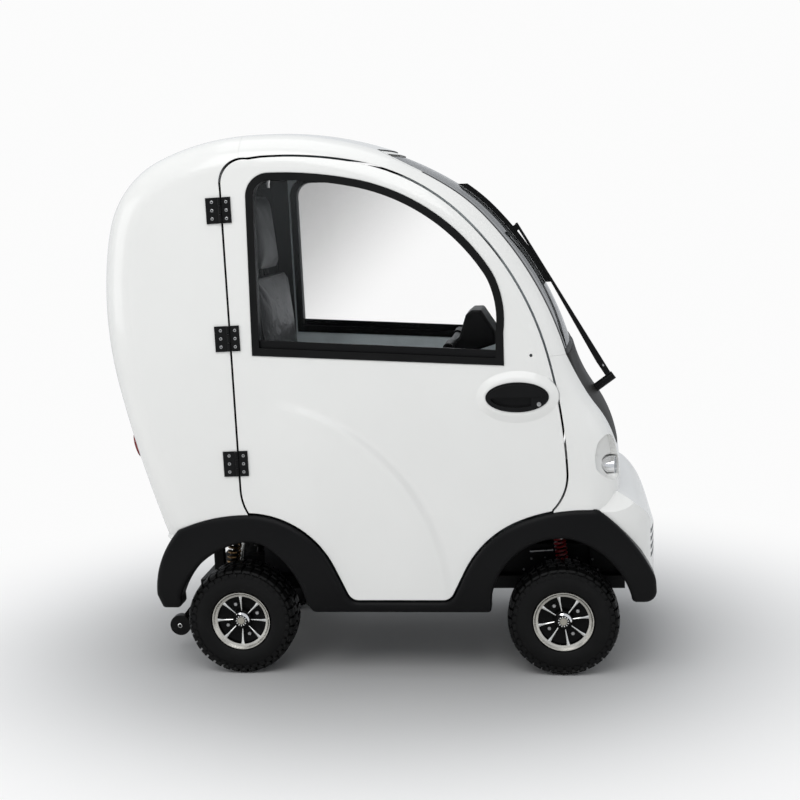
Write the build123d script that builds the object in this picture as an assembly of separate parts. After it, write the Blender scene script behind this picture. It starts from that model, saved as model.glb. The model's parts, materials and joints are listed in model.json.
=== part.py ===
from build123d import *
import math
import os

# Enclosed mobility scooter with a moulded cabin, two rear-hinged doors and four small wheels.
# Everything is drawn with x from the rear axle (front is +X), y from the middle (right side is -Y)
# and z from the ground, in millimetres. The last step moves the drawing to the part's own origin,
# the bottom centre of its bounding box.

os.makedirs("parts", exist_ok=True)

# Overall layout
wheelbase = 970.0
rear_overhang = 397.0
nose_overhang = 283.0
roof_height = 1621.0
skirt_half_width = 400.0

# Cabin moulding
belt_half_width = 375.0
belt_height = 560.0
side_lean = 2.85
crown_drop = 20.0
crown_reach = 330.0
corner_blend = 100.0
wall = 30.0
skin = 18.0
layer_gap = 0.3
pillar_width = 50.0

# Doors
door_gap = 6.0
door_rear_top_x = 3.0
door_rear_bottom_x = 23.0
door_top = 1548.0
window_band = 22.0
door_glass_thickness = 5.0
hinge_axis_offset = 7.0
hinge_height = 75.0
hinge_leaf_width = 30.0
hinge_body_leaf_width = 40.0
hinge_leaf_thickness = 4.0
hinge_barrel_radius = 5.0
hinge_heights = (655.0, 1025.0, 1397.0)
mirror_hole_radius = 4.5
mirror_hole_x = 892.0
mirror_hole_z = 955.0
handle_x = 850.0
handle_z = 837.0
handle_length = 181.0
handle_width = 86.0
bulge_length = 241.0
bulge_width = 156.0
bulge_height = 8.5

# Skirts: wheel flares and sill in one black moulding each side
skirt_inner = 335.0
sill_top = 236.0
sill_bottom = 203.0

# Glass and seals of the fixed windows
seal_width = 14.0
glass_thickness = 6.0
glass_inset = 8.0
windscreen_top = 1556.0
windscreen_bottom = 950.0
cowl_bottom = 662.0
rear_window_bottom = 1060.0
rear_window_top = 1400.0
rear_window_half_width = 215.0
rear_window_corner = 60.0

# Wheels
tyre_radius = 165.0
tyre_width = 125.0
wheel_track_half = 303.0
rim_radius = 89.0
rim_well_radius = 76.0
rim_width = 102.0
spoke_count = 8
spoke_width = 11.0
spoke_thickness = 12.0
hub_radius = 27.0
hub_depth = 70.0
hub_floor = 12.0
rim_face_depth = 8.0
axle_radius = 10.0
shaft_clearance = 0.1
hub_bore_end = wheel_track_half + rim_width / 2 - rim_face_depth - hub_floor - 0.5

# Steering
kingpin_half_track = 222.0
kingpin_radius = 9.0
steering_arm = 90.0
steering_arm_width = 14.0
steering_arm_drop = 34.0
tie_rod_drop = 53.0
tie_rod_eye_radius = 11.0
tie_rod_pin_radius = 5.0
front_strut_y = 158.0
rear_strut_y = 195.0

# Floor and frame
floor_thickness = 12.0
floor_top = 252.0
deck_top = 442.0
rail_half_track = 120.0
rail_width = 40.0
rail_height = 40.0

length = rear_overhang + wheelbase + nose_overhang
front_axle = wheelbase


def arc_run(x, z, heading, arcs, inset, interior):
    """Tangent arcs (radius, turn) in the side view, moved inwards by inset.

    interior is +1 where the body lies to the left of the run and -1 where it lies to the right.
    """
    angle = math.radians(heading)
    x -= math.sin(angle) * interior * inset
    z += math.cos(angle) * interior * inset
    pieces = []
    for radius, turn in arcs:
        side = 1 if turn > 0 else -1
        reach = radius - inset if side == interior else radius + inset
        centre_x = x - side * reach * math.sin(angle)
        centre_z = z + side * reach * math.cos(angle)
        points = [(x, z)]
        for share in (0.5, 1.0):
            at = angle + math.radians(turn) * share
            points.append((centre_x + side * reach * math.sin(at), centre_z - side * reach * math.cos(at)))
        pieces.append(points)
        x, z = points[2]
        angle += math.radians(turn)
    return pieces, (x, z), math.degrees(angle)


def side_point(point, y=0.0):
    return Vector(point[0], y, point[1])


def arc_edges(pieces, y=0.0):
    return [ThreePointArc(*[side_point(p, y) for p in points]) for points in pieces]


def closed_face(edges, corners, y=0.0):
    """Face from tangent edges that is closed by straight lines through the corners given."""
    chain = [edges[-1] @ 1] + [side_point(c, y) for c in corners] + [edges[0] @ 0]
    lines = [Line(a, b) for a, b in zip(chain, chain[1:]) if (a - b).length > 1e-6]
    return Face(Wire(edges + lines))


def polygon_xz(points):
    vectors = [side_point(p) for p in points]
    return Face(Wire([Line(a, b) for a, b in zip(vectors, vectors[1:] + vectors[:1])]))


def across(face, y_low, y_high):
    """Prism of a side-view face between two y planes."""
    lifted = face.moved(Location((0, y_low, 0)))
    return Solid.extrude(lifted, Vector(0, y_high - y_low, 0))


def mirrored(shape):
    return mirror(shape, about=Plane.XZ)


def side_plane_y(z, inset=0.0):
    """Half width of the flat cabin side at a height, measured square to the lean."""
    return belt_half_width - (z - belt_height) * math.tan(math.radians(side_lean)) - inset


# The middle line of the cabin in side view: radius, turn
roof_to_nose = [(993, -34.2), (548, -12.7), (1027, -27.6), (467, 20.0), (319, -30.4), (1105, -5.1)]
roof_to_tail = [(711, 23.9), (299, 50.9), (645, 6.4), (1157, 20.9), (3590, 7.5)]
roof_rear_x = 90.0
roof_front_x = wheelbase - 840.0
envelope_bottom = 190.0


def middle_section(inset, y):
    front, front_end, _ = arc_run(roof_front_x, roof_height, 0, roof_to_nose, inset, -1)
    rear, rear_end, rear_heading = arc_run(roof_rear_x, roof_height, 180, roof_to_tail, inset, 1)
    bottom = envelope_bottom + inset
    drop = (rear_end[1] - bottom) / math.tan(math.radians(rear_heading - 180))
    edges = [ThreePointArc(*[side_point(p, y) for p in reversed(points)]) for points in reversed(rear)]
    edges.append(Line(edges[-1] @ 1, side_point(front[0][0], y)))
    edges += arc_edges(front, y)
    return closed_face(edges, [(front_end[0], bottom), (rear_end[0] + drop, bottom)], y)


def envelope(inset):
    """Solid of the whole cabin form: crowned across, leaning sides, blended corners."""
    reach = belt_half_width + 40
    sections = []
    for y in (-reach, 0, reach):
        sections.append(middle_section(inset + crown_drop * (y / crown_reach) ** 2, y))
    low = envelope_bottom - 60
    high = roof_height + 60
    sides = [(-side_plane_y(low, inset), low), (side_plane_y(low, inset), low)]
    sides += [(side_plane_y(high, inset), high), (-side_plane_y(high, inset), high)]
    wedge = extrude(Plane.YZ * Polygon(*sides, align=None), amount=2 * length, both=True)
    form = loft(sections) & wedge
    rims = ShapeList()
    for flank in form.faces().filter_by(lambda f: abs(f.normal_at().Y) > 0.9):
        rims += [e for e in flank.edges() if e.bounding_box().max.Z > envelope_bottom + inset + 60]
    return fillet(rims, corner_blend - inset)


def flank_slab(outer_inset, inner_inset):
    """Slab parallel to the right cabin side, between two depths below its surface."""
    low = sill_bottom - 20
    high = roof_height
    points = [(-side_plane_y(low, outer_inset), low), (-side_plane_y(high, outer_inset), high)]
    points += [(-side_plane_y(high, inner_inset), high), (-side_plane_y(low, inner_inset), low)]
    return extrude(Plane.YZ * Polygon(*points, align=None), amount=2 * length, both=True)


def flank_plane(x, z, offset=0.0):
    """Plane on the right cabin side: local Y up the side, local Z square out of it."""
    lean = math.radians(side_lean)
    outward = Vector(0, -math.cos(lean), math.sin(lean))
    point = Vector(x, -side_plane_y(z), z) + outward * offset
    return Plane(origin=point, x_dir=(1, 0, 0), z_dir=outward)


# Top edge of the skirt in side view, rear to front, grown outwards by a gap: radius, turn
flare_lift = [(520, -24.0), (283, -64.6)]
flare_front = [(303, -41.7), (503, -24.4)]
flare_nose = [(33, -37.3), (504, -28.3)]


skirt_corner = 40.0
skirt_crown_radius = 919.0
skirt_crown_height = 330.0
skirt_edge = 10.0


def corner_arc(before, corner, after, radius):
    """Arc that rounds the corner between two straight runs."""
    back = (before - corner).normalized()
    onward = (after - corner).normalized()
    half = math.acos(back.dot(onward)) / 2
    reach = radius / math.tan(half)
    middle = corner + (back + onward).normalized() * (radius / math.sin(half) - radius)
    return ThreePointArc(corner + back * reach, middle, corner + onward * reach)


def skirt_line(gap):
    rear, rear_end, _ = arc_run(-171, 455, 24, flare_lift, -gap, -1)
    front, _, _ = arc_run(front_axle - 279.2, 326.1, 63.3, flare_front, -gap, -1)
    nose, _, _ = arc_run(front_axle + 92, 508, 0, flare_nose, -gap, -1)
    slope = math.tan(math.radians(64.6))
    rear_foot = (rear_end[0] + (rear_end[1] - sill_top - gap) / slope, sill_top + gap)
    front_foot = (front[0][0][0] - (front[0][0][1] - sill_top - gap) / math.tan(math.radians(63.3)), sill_top + gap)
    edges = arc_edges(rear)
    stops = [edges[-1] @ 1] + [side_point(stop) for stop in (rear_foot, front_foot, front[0][0])]
    for before, corner, after in zip(stops, stops[1:], stops[2:]):
        bend = corner_arc(before, corner, after, skirt_corner - gap)
        edges += [Line(edges[-1] @ 1, bend @ 0), bend]
    edges.append(Line(edges[-1] @ 1, stops[-1]))
    edges += arc_edges(front)
    edges.append(Line(edges[-1] @ 1, side_point(nose[0][0])))
    edges += arc_edges(nose)
    return edges


def below_skirt(gap):
    """Everything below the skirt's top edge, as a face that reaches past both ends."""
    edges = skirt_line(gap)
    tip = edges[-1] @ 1
    start = edges[0] @ 0
    corners = [(tip.X + 400, tip.Z - 250), (tip.X + 400, -50), (-rear_overhang - 100, -50)]
    corners += [(-rear_overhang - 100, 420), (start.X - 24, 420)]
    return closed_face(edges, corners)


# Ends and wheel arches of the skirt in side view: radius, turn
skirt_rear_tip = [(294, -41.6)]
skirt_rounds = [
    (front_axle + 266, 308, 60),
    (front_axle + 270, 236, 34),
    (front_axle + 197, 236, 14),
    (front_axle - 209, sill_bottom, 10),
    (232, sill_bottom, 10),
    (-171, 217, 14),
    (-229, 217, 12),
    (-245, 260, 20),
]
arch_rear = [(256, -60.2), (109, -45.1), (261, -45.4)]
arch_front = [(207, -87.6), (124, -16.6), (239, -58.8)]


def skirt_outline():
    edges = skirt_line(0)
    front_arch, _, _ = arc_run(front_axle - 209, 225, 88, arch_front, 0, 1)
    rear_arch, _, _ = arc_run(-173, 252, 70, arch_rear, 0, 1)
    nose_tip = edges[-1] @ 1
    tip = [(nose_tip.X + 4, 236), (front_axle + 197, 236)]
    points = [side_point(p) for p in tip]
    lines = [Line(nose_tip, points[0]), Line(points[0], points[1])]
    front_back = [ThreePointArc(*[side_point(p) for p in reversed(piece)]) for piece in reversed(front_arch)]
    rear_back = [ThreePointArc(*[side_point(p) for p in reversed(piece)]) for piece in reversed(rear_arch)]
    sill_front = side_point((front_axle - 209, sill_bottom))
    sill_rear = side_point((232, sill_bottom))
    chain = edges + lines
    chain.append(Line(chain[-1] @ 1, front_back[0] @ 0))
    chain += front_back
    chain += [Line(front_back[-1] @ 1, sill_front), Line(sill_front, sill_rear), Line(sill_rear, rear_back[0] @ 0)]
    chain += rear_back
    foot = [side_point(p) for p in ((-171, 217), (-229, 217))]
    outer_tip, _, _ = arc_run(-245.3, 260, 90, skirt_rear_tip, 0, -1)
    top = edges[0] @ 0
    outer_tip[0][2] = (top.X, top.Z)
    tip_arc = arc_edges(outer_tip)
    chain += [Line(chain[-1] @ 1, foot[0]), Line(foot[0], foot[1]), Line(foot[1], tip_arc[0] @ 0)]
    chain += tip_arc
    outline = Face(Wire(chain))
    for x, z, radius in skirt_rounds:
        vertex = outline.vertices().sort_by_distance((x, 0, z))[0]
        outline = fillet(vertex, radius).face()
    return outline


def skirt_crown(inset):
    """Prism along the cabin whose outer face is crowned like the skirt's."""
    radius = skirt_crown_radius - inset
    points = []
    for z in (540.0, skirt_crown_height, 180.0):
        rise = math.sqrt(radius**2 - (z - skirt_crown_height) ** 2)
        points.append(Vector(0, skirt_crown_radius - skirt_half_width - rise, z))
    crown = ThreePointArc(*points)
    back = Polyline(crown @ 1, (0, 0, 180), (0, 0, 540), crown @ 0)
    return extrude(Face(Wire([crown] + back.edges())), amount=2 * length, both=True, dir=(1, 0, 0))


# Door outline in side view from its top, forward and down: radius, turn
door_front_arcs = [(1132, -13.7), (630, -33.2), (879, -30.1), (1543, -12.9), (151, -47.1)]
door_rear_foot = (50.8, 492.4)
door_rear_arcs = [(150, -33.7)]
door_rear_corner = 75.0


def door_outline(inset):
    """The door's whole outline, before the skirt takes its lower edge."""
    pieces, end, _ = arc_run(front_axle - 844, door_top, 2, door_front_arcs, inset, -1)
    foot, _, _ = arc_run(*door_rear_foot, 125, door_rear_arcs, inset, -1)
    top_x = door_rear_top_x + inset
    corner = ThreePointArc(
        side_point((top_x, door_top - 85)),
        side_point((top_x + 0.25 * door_rear_corner, door_top - 25 - inset * 0.8)),
        side_point((top_x + 1.1 * door_rear_corner, door_top - 4 - inset)),
    )
    rear = arc_edges(foot)
    edges = rear + [Line(rear[-1] @ 1, corner @ 0), corner]
    edges += [Line(corner @ 1, side_point(pieces[0][0]))] + arc_edges(pieces)
    low = sill_bottom - 10
    start = rear[0] @ 0
    return closed_face(edges, [(end[0] - 30, low), (start.X + 80, low)])


# Window outline in side view, from its rear foot up, forward and down: radius, turn
window_arcs = [(68, -90.0), (1141, -12.9), (611, -44.4), (187, -10.5), (291, -30.5)]
window_rear_x = 80.0
window_corner_z = 1431.0


def window_outline(inset):
    rear = [window_arcs[0]]
    first, first_end, _ = arc_run(window_rear_x, window_corner_z, 90, rear, inset, -1)
    rest, end, _ = arc_run(window_rear_x + 68, window_corner_z + 68, 0, window_arcs[1:], inset, -1)
    edges = arc_edges(first) + arc_edges(rest)
    return closed_face(edges, [(end[0] - inset * 0.1, 928 + inset), (window_rear_x + inset, 973 + inset)])


def front_opening(inset):
    """Windscreen opening, seen from the front."""
    top = side_plane_y(windscreen_top) - pillar_width - inset
    bottom = side_plane_y(windscreen_bottom) - pillar_width - inset
    points = [(-top, windscreen_top - inset), (top, windscreen_top - inset)]
    points += [(bottom, windscreen_bottom + inset), (-bottom, windscreen_bottom + inset)]
    face = Plane.YZ * Polygon(*points, align=None)
    face = fillet(face.vertices().group_by(Axis.Z)[-1], 60 - inset)
    return extrude(Pos(430, 0, 0) * face, amount=length, dir=(1, 0, 0))


def cowl_opening(inset):
    top = side_plane_y(windscreen_bottom) - pillar_width - inset
    points = [(-top, windscreen_bottom - inset), (top, windscreen_bottom - inset)]
    points += [(225 - inset, cowl_bottom + inset), (-225 + inset, cowl_bottom + inset)]
    face = Plane.YZ * Polygon(*points, align=None)
    face = fillet(face.vertices().group_by(Axis.Z)[0], 70 - inset)
    return extrude(Pos(700, 0, 0) * face, amount=length, dir=(1, 0, 0))


def rear_opening(inset):
    height = rear_window_top - rear_window_bottom
    middle = (rear_window_top + rear_window_bottom) / 2
    outline = RectangleRounded(
        2 * (rear_window_half_width - inset), height - 2 * inset, rear_window_corner - inset
    )
    face = Plane.YZ * Pos(0, middle) * outline
    return extrude(face, amount=length, dir=(-1, 0, 0))


def export(shape, name):
    """One file for each node, moved to the bottom centre of the whole part's box."""
    placed = Pos(-(tail_end + nose_end) / 2, 0, 0) * shape
    solids = placed.solids()
    result = solids[0] if len(solids) == 1 else Compound(children=list(solids))
    export_step(result, "parts/" + name + ".step")


# Cabin moulding
outer = envelope(0)
skin_form = envelope(skin)
cavity = envelope(wall)
moulding = outer - cavity
doors_cut = across(door_outline(0), -600, 600)
under_cut = across(below_skirt(0), -600, 600)
flare_cut = across(skirt_outline(), -600, 600)
under_gap = across(below_skirt(door_gap), -600, 600)

body = moulding - doors_cut - under_cut - flare_cut - front_opening(0) - cowl_opening(0) - rear_opening(0)
split_x = door_rear_top_x + 60
rear_half = Pos(split_x - length, 0, 800) * Box(2 * length, 1200, 2400)
lower_front = Pos(split_x + length, 0, windscreen_bottom - 1000) * Box(2 * length, 1200, 2000)
rear_shell = body & rear_half
front_rest = body - rear_half
front_shell = front_rest & lower_front
roof_frame = front_rest - lower_front

# Nose: a bulge below the cowl that carries the grille slots
nose_arcs = [(190, -55.0), (2200, -6.0)]
nose_start = (front_axle + 179, 540)
nose_heading = -27.0
nose_half_width = 373.0
nose_bow = 40.0
nose_corner = 120.0
nose_shoulder = [(-373, 500), (-262, 592), (0, 640)]
nose_grille_z = (346.0, 370.0, 394.0, 418.0)
nose_grille_y = (-219.0, -73.0, 73.0, 219.0)
nose_slot_length = 138.0
nose_slot_height = 13.0
nose_slot_slant = 20.0


def nose_form(inset):
    """Nose bulge: its side view cut by a bowed plan and by a section with sloping shoulders."""
    pieces, end, _ = arc_run(*nose_start, nose_heading, nose_arcs, inset, -1)
    edges = arc_edges(pieces)
    back = front_axle + 90 + inset
    low = 224 + inset
    top = nose_start[1] + 20 - inset
    corners = [(end[0] + 2, low), (back, low), (back, top), (pieces[0][0][0] - 40, top)]
    half = nose_half_width - inset
    block = across(closed_face(edges, corners), -half, half)
    front = front_axle + nose_overhang - inset
    bow = ThreePointArc((front - nose_bow, -half), (front, 0), (front - nose_bow, half))
    back_line = Polyline(bow @ 1, (back, half), (back, -half), bow @ 0)
    plan = Face(Wire([bow] + back_line.edges()))
    plan = fillet(plan.vertices().group_by(Axis.X)[-1], nose_corner - inset)
    rise = [Vector(0, y + inset * 0.7 if y else 0, z - inset) for y, z in nose_shoulder]
    shoulder = ThreePointArc(*rise)
    closing = Polyline(shoulder @ 1, (0, 0, 0), (0, -half, 0), (0, -half, (shoulder @ 0).Z), shoulder @ 0)
    side_half = extrude(Face(Wire([shoulder] + closing.edges())), amount=2 * length, both=True, dir=(1, 0, 0))
    return block & extrude(plan, amount=1000) & (side_half + mirrored(side_half))


nose_shell = nose_form(0) - nose_form(wall)
nose_shell -= outer
wheel_bay = Pos(front_axle + 205 - 500, 0, 100) * Box(1000, 1200, 500)
skirt_side = across(below_skirt(0), -600, -skirt_inner)
nose_shell -= wheel_bay
nose_shell -= skirt_side + mirrored(skirt_side)
for slot_z in nose_grille_z:
    for slot_y in nose_grille_y:
        slot_place = Pos(front_axle + 264, slot_y, slot_z) * Rot(0, nose_slot_slant, 0)
        nose_shell -= slot_place * Box(110, nose_slot_length, nose_slot_height)
front_shell = front_shell + nose_shell

# Headlamps: a round white dish in each front corner with a small lamp at its inner foot
dish_radius = 65.0
dish_sphere = 110.0
dish_backing = 9.0
dish_axis = Plane(origin=(1093, -309, 650), z_dir=(0.9356, -0.3528, 0))
dish_rise = math.sqrt(dish_sphere**2 - dish_radius**2)
dish_ball = dish_axis * Pos(0, 0, dish_rise) * Sphere(dish_sphere)
dish_plug = dish_axis * Pos(0, 0, 40) * Cylinder(dish_radius + dish_backing, 160)
dish_shell = dish_plug & outer & (dish_axis * Pos(0, 0, dish_rise) * Sphere(dish_sphere + dish_backing))
dish_tool = dish_axis * Pos(0, 0, 60) * Cylinder(dish_radius, 200) & dish_ball
lamp_radius = 32.0
lamp_axis = Plane(origin=(1126, -252, 609), z_dir=(0.985, -0.17, 0.02))
lamp_pocket = lamp_axis * Pos(0, 0, 18) * Cylinder(lamp_radius + 4, 100)
lamp_bowl = lamp_axis * (Pos(0, 0, -14) * Cylinder(lamp_radius, 36) - Pos(0, 0, 4) * Cylinder(lamp_radius - 5, 28))
lamp_lens = lamp_axis * (Pos(0, 0, 0) * Cylinder(lamp_radius - 5 - layer_gap, 6))
for mate in (False, True):
    for solid in (dish_shell,):
        front_shell += mirrored(solid) if mate else solid
    for solid in (dish_tool, lamp_pocket):
        front_shell -= mirrored(solid) if mate else solid
headlamp_bowls = Compound(children=[lamp_bowl, mirrored(lamp_bowl)])
headlamp_lenses = Compound(children=[lamp_lens, mirrored(lamp_lens)])

# Cowl, glass and seals
cowl = moulding & cowl_opening(layer_gap)
windscreen_band = front_opening(layer_gap) - front_opening(seal_width)
windscreen_seal = (envelope(4) - envelope(glass_inset + glass_thickness + 8)) & windscreen_band
glass_form = envelope(glass_inset) - envelope(glass_inset + glass_thickness)
windscreen = glass_form & front_opening(seal_width + layer_gap)
rear_band = rear_opening(layer_gap) - rear_opening(seal_width)
rear_seal = (envelope(4) - envelope(glass_inset + glass_thickness + 8)) & rear_band
rear_glass = glass_form & rear_opening(seal_width + layer_gap)

# Right door
door_block = across(door_outline(door_gap), -600, 0)
window_hole = across(window_outline(0), -600, 0)
door_form = door_block - under_gap - window_hole
door_panel = (outer - skin_form) & door_form
mirror_plane = flank_plane(mirror_hole_x, mirror_hole_z)
mirror_hole = mirror_plane * Cylinder(mirror_hole_radius, 2 * skin + 6)
door_panel -= mirror_hole
trim_edge = across(door_outline(door_gap + 12), -600, 0)
door_trim = (envelope(skin + layer_gap) - cavity) & (trim_edge - across(below_skirt(door_gap + 12), -600, 600) - window_hole)
window_ring = across(window_outline(layer_gap), -600, 0) - across(window_outline(window_band), -600, 0)
window_frame = flank_slab(-3, wall + 3) & window_ring
door_glass = flank_slab(12, 12 + door_glass_thickness) & across(window_outline(window_band + layer_gap), -600, 0)

# Door handle: an oval cup with a pull flap on a soft bulge of the door
handle_seat = flank_plane(handle_x, handle_z)
bulge_steps = [(1.0, -1.0), (0.86, 0.7), (0.62, 3.6), (0.34, 7.2), (0.06, bulge_height)]


def oval(length_x, width_y, height):
    return handle_seat * Pos(0, 0, height) * Ellipse(length_x / 2, width_y / 2)


bulge_sections = []
for share, height in bulge_steps:
    oval_length = handle_length + (bulge_length - handle_length) * share
    oval_width = handle_width + (bulge_width - handle_width) * share
    bulge_sections.append(oval(oval_length, oval_width, height).face())
door_bulge = loft(bulge_sections)
cup_depth = 10.0
cup_length = handle_length - 14
cup_width = handle_width - 14
door_panel += door_bulge
door_panel -= extrude(oval(cup_length + 2 * layer_gap, cup_width + 2 * layer_gap, -2 * skin), amount=4 * skin)
door_handle = extrude(oval(handle_length, handle_width, bulge_height), amount=3)
door_handle += extrude(oval(cup_length, cup_width, -cup_depth), amount=cup_depth + bulge_height)
finger_pocket = handle_seat * Pos(-18, -20, 0) * Box(116, 36, 12 + 2 * bulge_height)
door_handle -= finger_pocket & extrude(oval(cup_length - 12, cup_width - 12, -cup_depth + 3), amount=40)
flap = extrude(oval(cup_length, cup_width, bulge_height + 3), amount=3)
door_handle += flap & (handle_seat * Pos(0, 60 + 1, 0) * Box(300, 120, 60))
door_handle += handle_seat * Pos(62, -20, bulge_height + 3) * Cylinder(7, 5)

# Hinges
axis_low = flank_plane(door_rear_bottom_x, 607, hinge_axis_offset).origin
axis_high = flank_plane(door_rear_top_x, 1463, hinge_axis_offset).origin
hinge_direction = (axis_high - axis_low).normalized()


def hinge_frame(height):
    share = (height - axis_low.Z) / (axis_high.Z - axis_low.Z)
    point = axis_low + (axis_high - axis_low) * share
    return Plane(origin=point, x_dir=(1, 0, 0), z_dir=hinge_direction)


def hinge_leaf(height, side):
    """Leaf on the body (side -1) or on the door (side +1), with its barrel knuckles."""
    frame = hinge_frame(height)
    depth = hinge_axis_offset - layer_gap
    width = hinge_leaf_width if side > 0 else hinge_body_leaf_width
    plate = Pos(side * (width / 2 + 3.5), depth - hinge_leaf_thickness / 2, 0)
    plate = plate * Box(width - 3, hinge_leaf_thickness, hinge_height)
    third = hinge_height / 3
    knuckle_z = [0] if side > 0 else [-third, third]
    leaf = plate
    for z in knuckle_z:
        leaf += Pos(0, 0, z) * Cylinder(hinge_barrel_radius, third - 1)
        web = Pos(side * 3.5, depth - hinge_leaf_thickness / 2 - 0.5, z)
        leaf += web * Box(7, hinge_leaf_thickness - 1, third - 1)
    return frame * leaf


door_leaves = [hinge_leaf(h, 1) for h in hinge_heights]
body_leaves = [hinge_leaf(h, -1) for h in hinge_heights]

# Skirts
skirt_blank = across(skirt_outline(), -skirt_half_width - 10, -skirt_inner) & skirt_crown(0)
skirt_face = skirt_blank.faces().sort_by(Axis.Y)[0]
skirt_right = fillet(skirt_face.edges(), skirt_edge)

# Floor pan with rear deck, footwell and front shelf
deck_end = 285.0
riser_low = front_axle - 280
riser_high = front_axle - 200
floor_path = [(-rear_overhang, deck_top), (deck_end, deck_top), (deck_end, floor_top), (riser_low, floor_top)]
floor_path += [(riser_high, deck_top), (front_axle + 183, deck_top)]
t = floor_thickness
under_path = [(front_axle + 183, deck_top - t), (riser_high + 6, deck_top - t), (riser_low + 6, floor_top - t)]
under_path += [(deck_end - t, floor_top - t), (deck_end - t, deck_top - t), (-rear_overhang, deck_top - t)]
floor_pan = across(polygon_xz(floor_path + under_path), -skirt_inner + layer_gap, skirt_inner - layer_gap)
floor_pan &= envelope(wall + layer_gap)

# Chassis frame
rail_top = floor_top - floor_thickness
rail_rear = -160.0
rail_front = front_axle + 190
rails = Part()
for side in (-1, 1):
    rails += Pos((rail_rear + rail_front) / 2, side * rail_half_track, rail_top - rail_height / 2) * Box(
        rail_front - rail_rear, rail_width, rail_height
    )
for x in (rail_rear + 15, 250, front_axle - 300, front_axle + 60, rail_front - 15):
    rails += Pos(x, 0, rail_top - rail_height / 2) * Box(30, 2 * rail_half_track, rail_height)
for side in (-1, 1):
    for x in (-120, 245):
        rails += Pos(x, side * rail_half_track, (rail_top + deck_top - t) / 2) * Box(30, 30, deck_top - t - rail_top)
    rails += Pos(front_axle + 100, side * rail_half_track, (rail_top + deck_top - t) / 2) * Box(
        30, 30, deck_top - t - rail_top
    )
    for x in (deck_end + 60, riser_low - 40):
        rails += Pos(x, side * (rail_half_track + 100), rail_top - 12) * Box(30, 200, 24)
chassis_frame = rails

# Steering tiller: its shaft leans back from the front bay to the driver's hands
tiller_foot = Vector(front_axle - 65, 0, 250)
tiller_top = Vector(front_axle - 280, 0, 960)
tiller_axis = Plane(origin=tiller_foot, x_dir=(0, 1, 0), z_dir=(tiller_top - tiller_foot))
tiller_reach = (tiller_top - tiller_foot).length
shaft_radius = 16.0
tube_radius = 28.0
tiller_shaft = tiller_axis * Pos(0, 0, tiller_reach / 2) * Cylinder(shaft_radius, tiller_reach)
steering_tube_low = 60.0
steering_tube_high = 330.0
tube = Cylinder(tube_radius, steering_tube_high - steering_tube_low) - Cylinder(shaft_radius + shaft_clearance, 1000)
steering_tube = tiller_axis * Pos(0, 0, (steering_tube_low + steering_tube_high) / 2) * tube
tube_hole = tiller_axis * Pos(0, 0, 200) * Cylinder(tube_radius + layer_gap, 400)
floor_pan -= tube_hole
tube_brace = Pos(front_axle - 95, 0, (rail_top + 380) / 2) * Box(24, 100, 380 - rail_top)
tube_brace += Pos(front_axle - 95, 0, rail_top - 10) * Box(24, 2 * rail_half_track, 20)
chassis_frame += tube_brace - tube_hole

head_side = [(600, 930), (655, 922), (781, 960), (781, 1000), (738, 1066), (708, 1066), (690, 1052), (668, 985)]
head_half_width = 92.0
head_core = across(polygon_xz(head_side), -head_half_width, head_half_width)
head_core = fillet(head_core.edges(), 9)
handlebar_back = 40.0
handlebar = tiller_axis * Pos(0, handlebar_back, tiller_reach + 20) * Rot(0, 90, 0) * Cylinder(11, 470)
grips = Compound(children=[
    tiller_axis * Pos(side * 190, handlebar_back, tiller_reach + 20) * Rot(0, 90, 0) * (Cylinder(16, 110) - Cylinder(11 + layer_gap, 120))
    for side in (-1, 1)
])
tiller_head = head_core + handlebar - tiller_shaft

# Seat
pedestal = Pos(165, 0, deck_top + 26) * Box(210, 300, 52)
seat_pan = Pos(350, 0, deck_top + 60) * Box(430, 400, 16)
seat_frame = pedestal + seat_pan
cushion = Pos(372, 0, deck_top + 68 + 42) * Box(410, 440, 84 - 2 * layer_gap)
cushion = fillet(cushion.edges(), 25)
back_lean = 6.0
back_plane = Plane(origin=(118, 0, deck_top + 70), x_dir=(0, 1, 0), z_dir=(-math.sin(math.radians(back_lean)), 0, math.cos(math.radians(back_lean))))
back_rest = back_plane * Pos(0, 0, 340) * Box(450, 80, 680)
back_rest = fillet(back_rest.edges(), 28)
head_rest = back_plane * Pos(0, 0, 815) * Box(270, 74, 230)
head_rest = fillet(head_rest.edges(), 28)
neck = back_plane * Pos(0, 0, 690) * Box(120, 30, 60)
seat_back = back_rest + head_rest + neck
bracket = Pos(96, 0, deck_top + 56) * Box(60, 200, 24)
seat_frame += bracket
seat_frame -= seat_back

# Battery and rear drive
battery = Pos(120, 0, rail_top + 90) * Box(200, 190, 180)
battery_tray = Pos(120, 0, rail_top - 4) * Box(240, 2 * rail_half_track - rail_width, 8)
chassis_frame += battery_tray
axle_height = tyre_radius
drive = Pos(0, 0, axle_height) * Rot(90, 0, 0) * Cylinder(30, 440)
drive += Pos(0, 0, axle_height - 4) * Rot(90, 0, 0) * Cylinder(62, 120)
drive += Pos(-50, 40, axle_height) * Rot(0, 90, 0) * Cylinder(48, 140)
for side in (-1, 1):
    drive += Pos(0, side * 224, axle_height) * Rot(90, 0, 0) * Cylinder(42, 10)
    shaft = (hub_bore_end - 220) / 2
    drive += Pos(0, side * (220 + shaft), axle_height) * Rot(90, 0, 0) * Cylinder(axle_radius, 2 * shaft)
    drive += Pos(0, side * rail_half_track, (axle_height + rail_top - rail_height) / 2) * Box(
        50, 30, rail_top - rail_height - axle_height
    )

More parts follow.
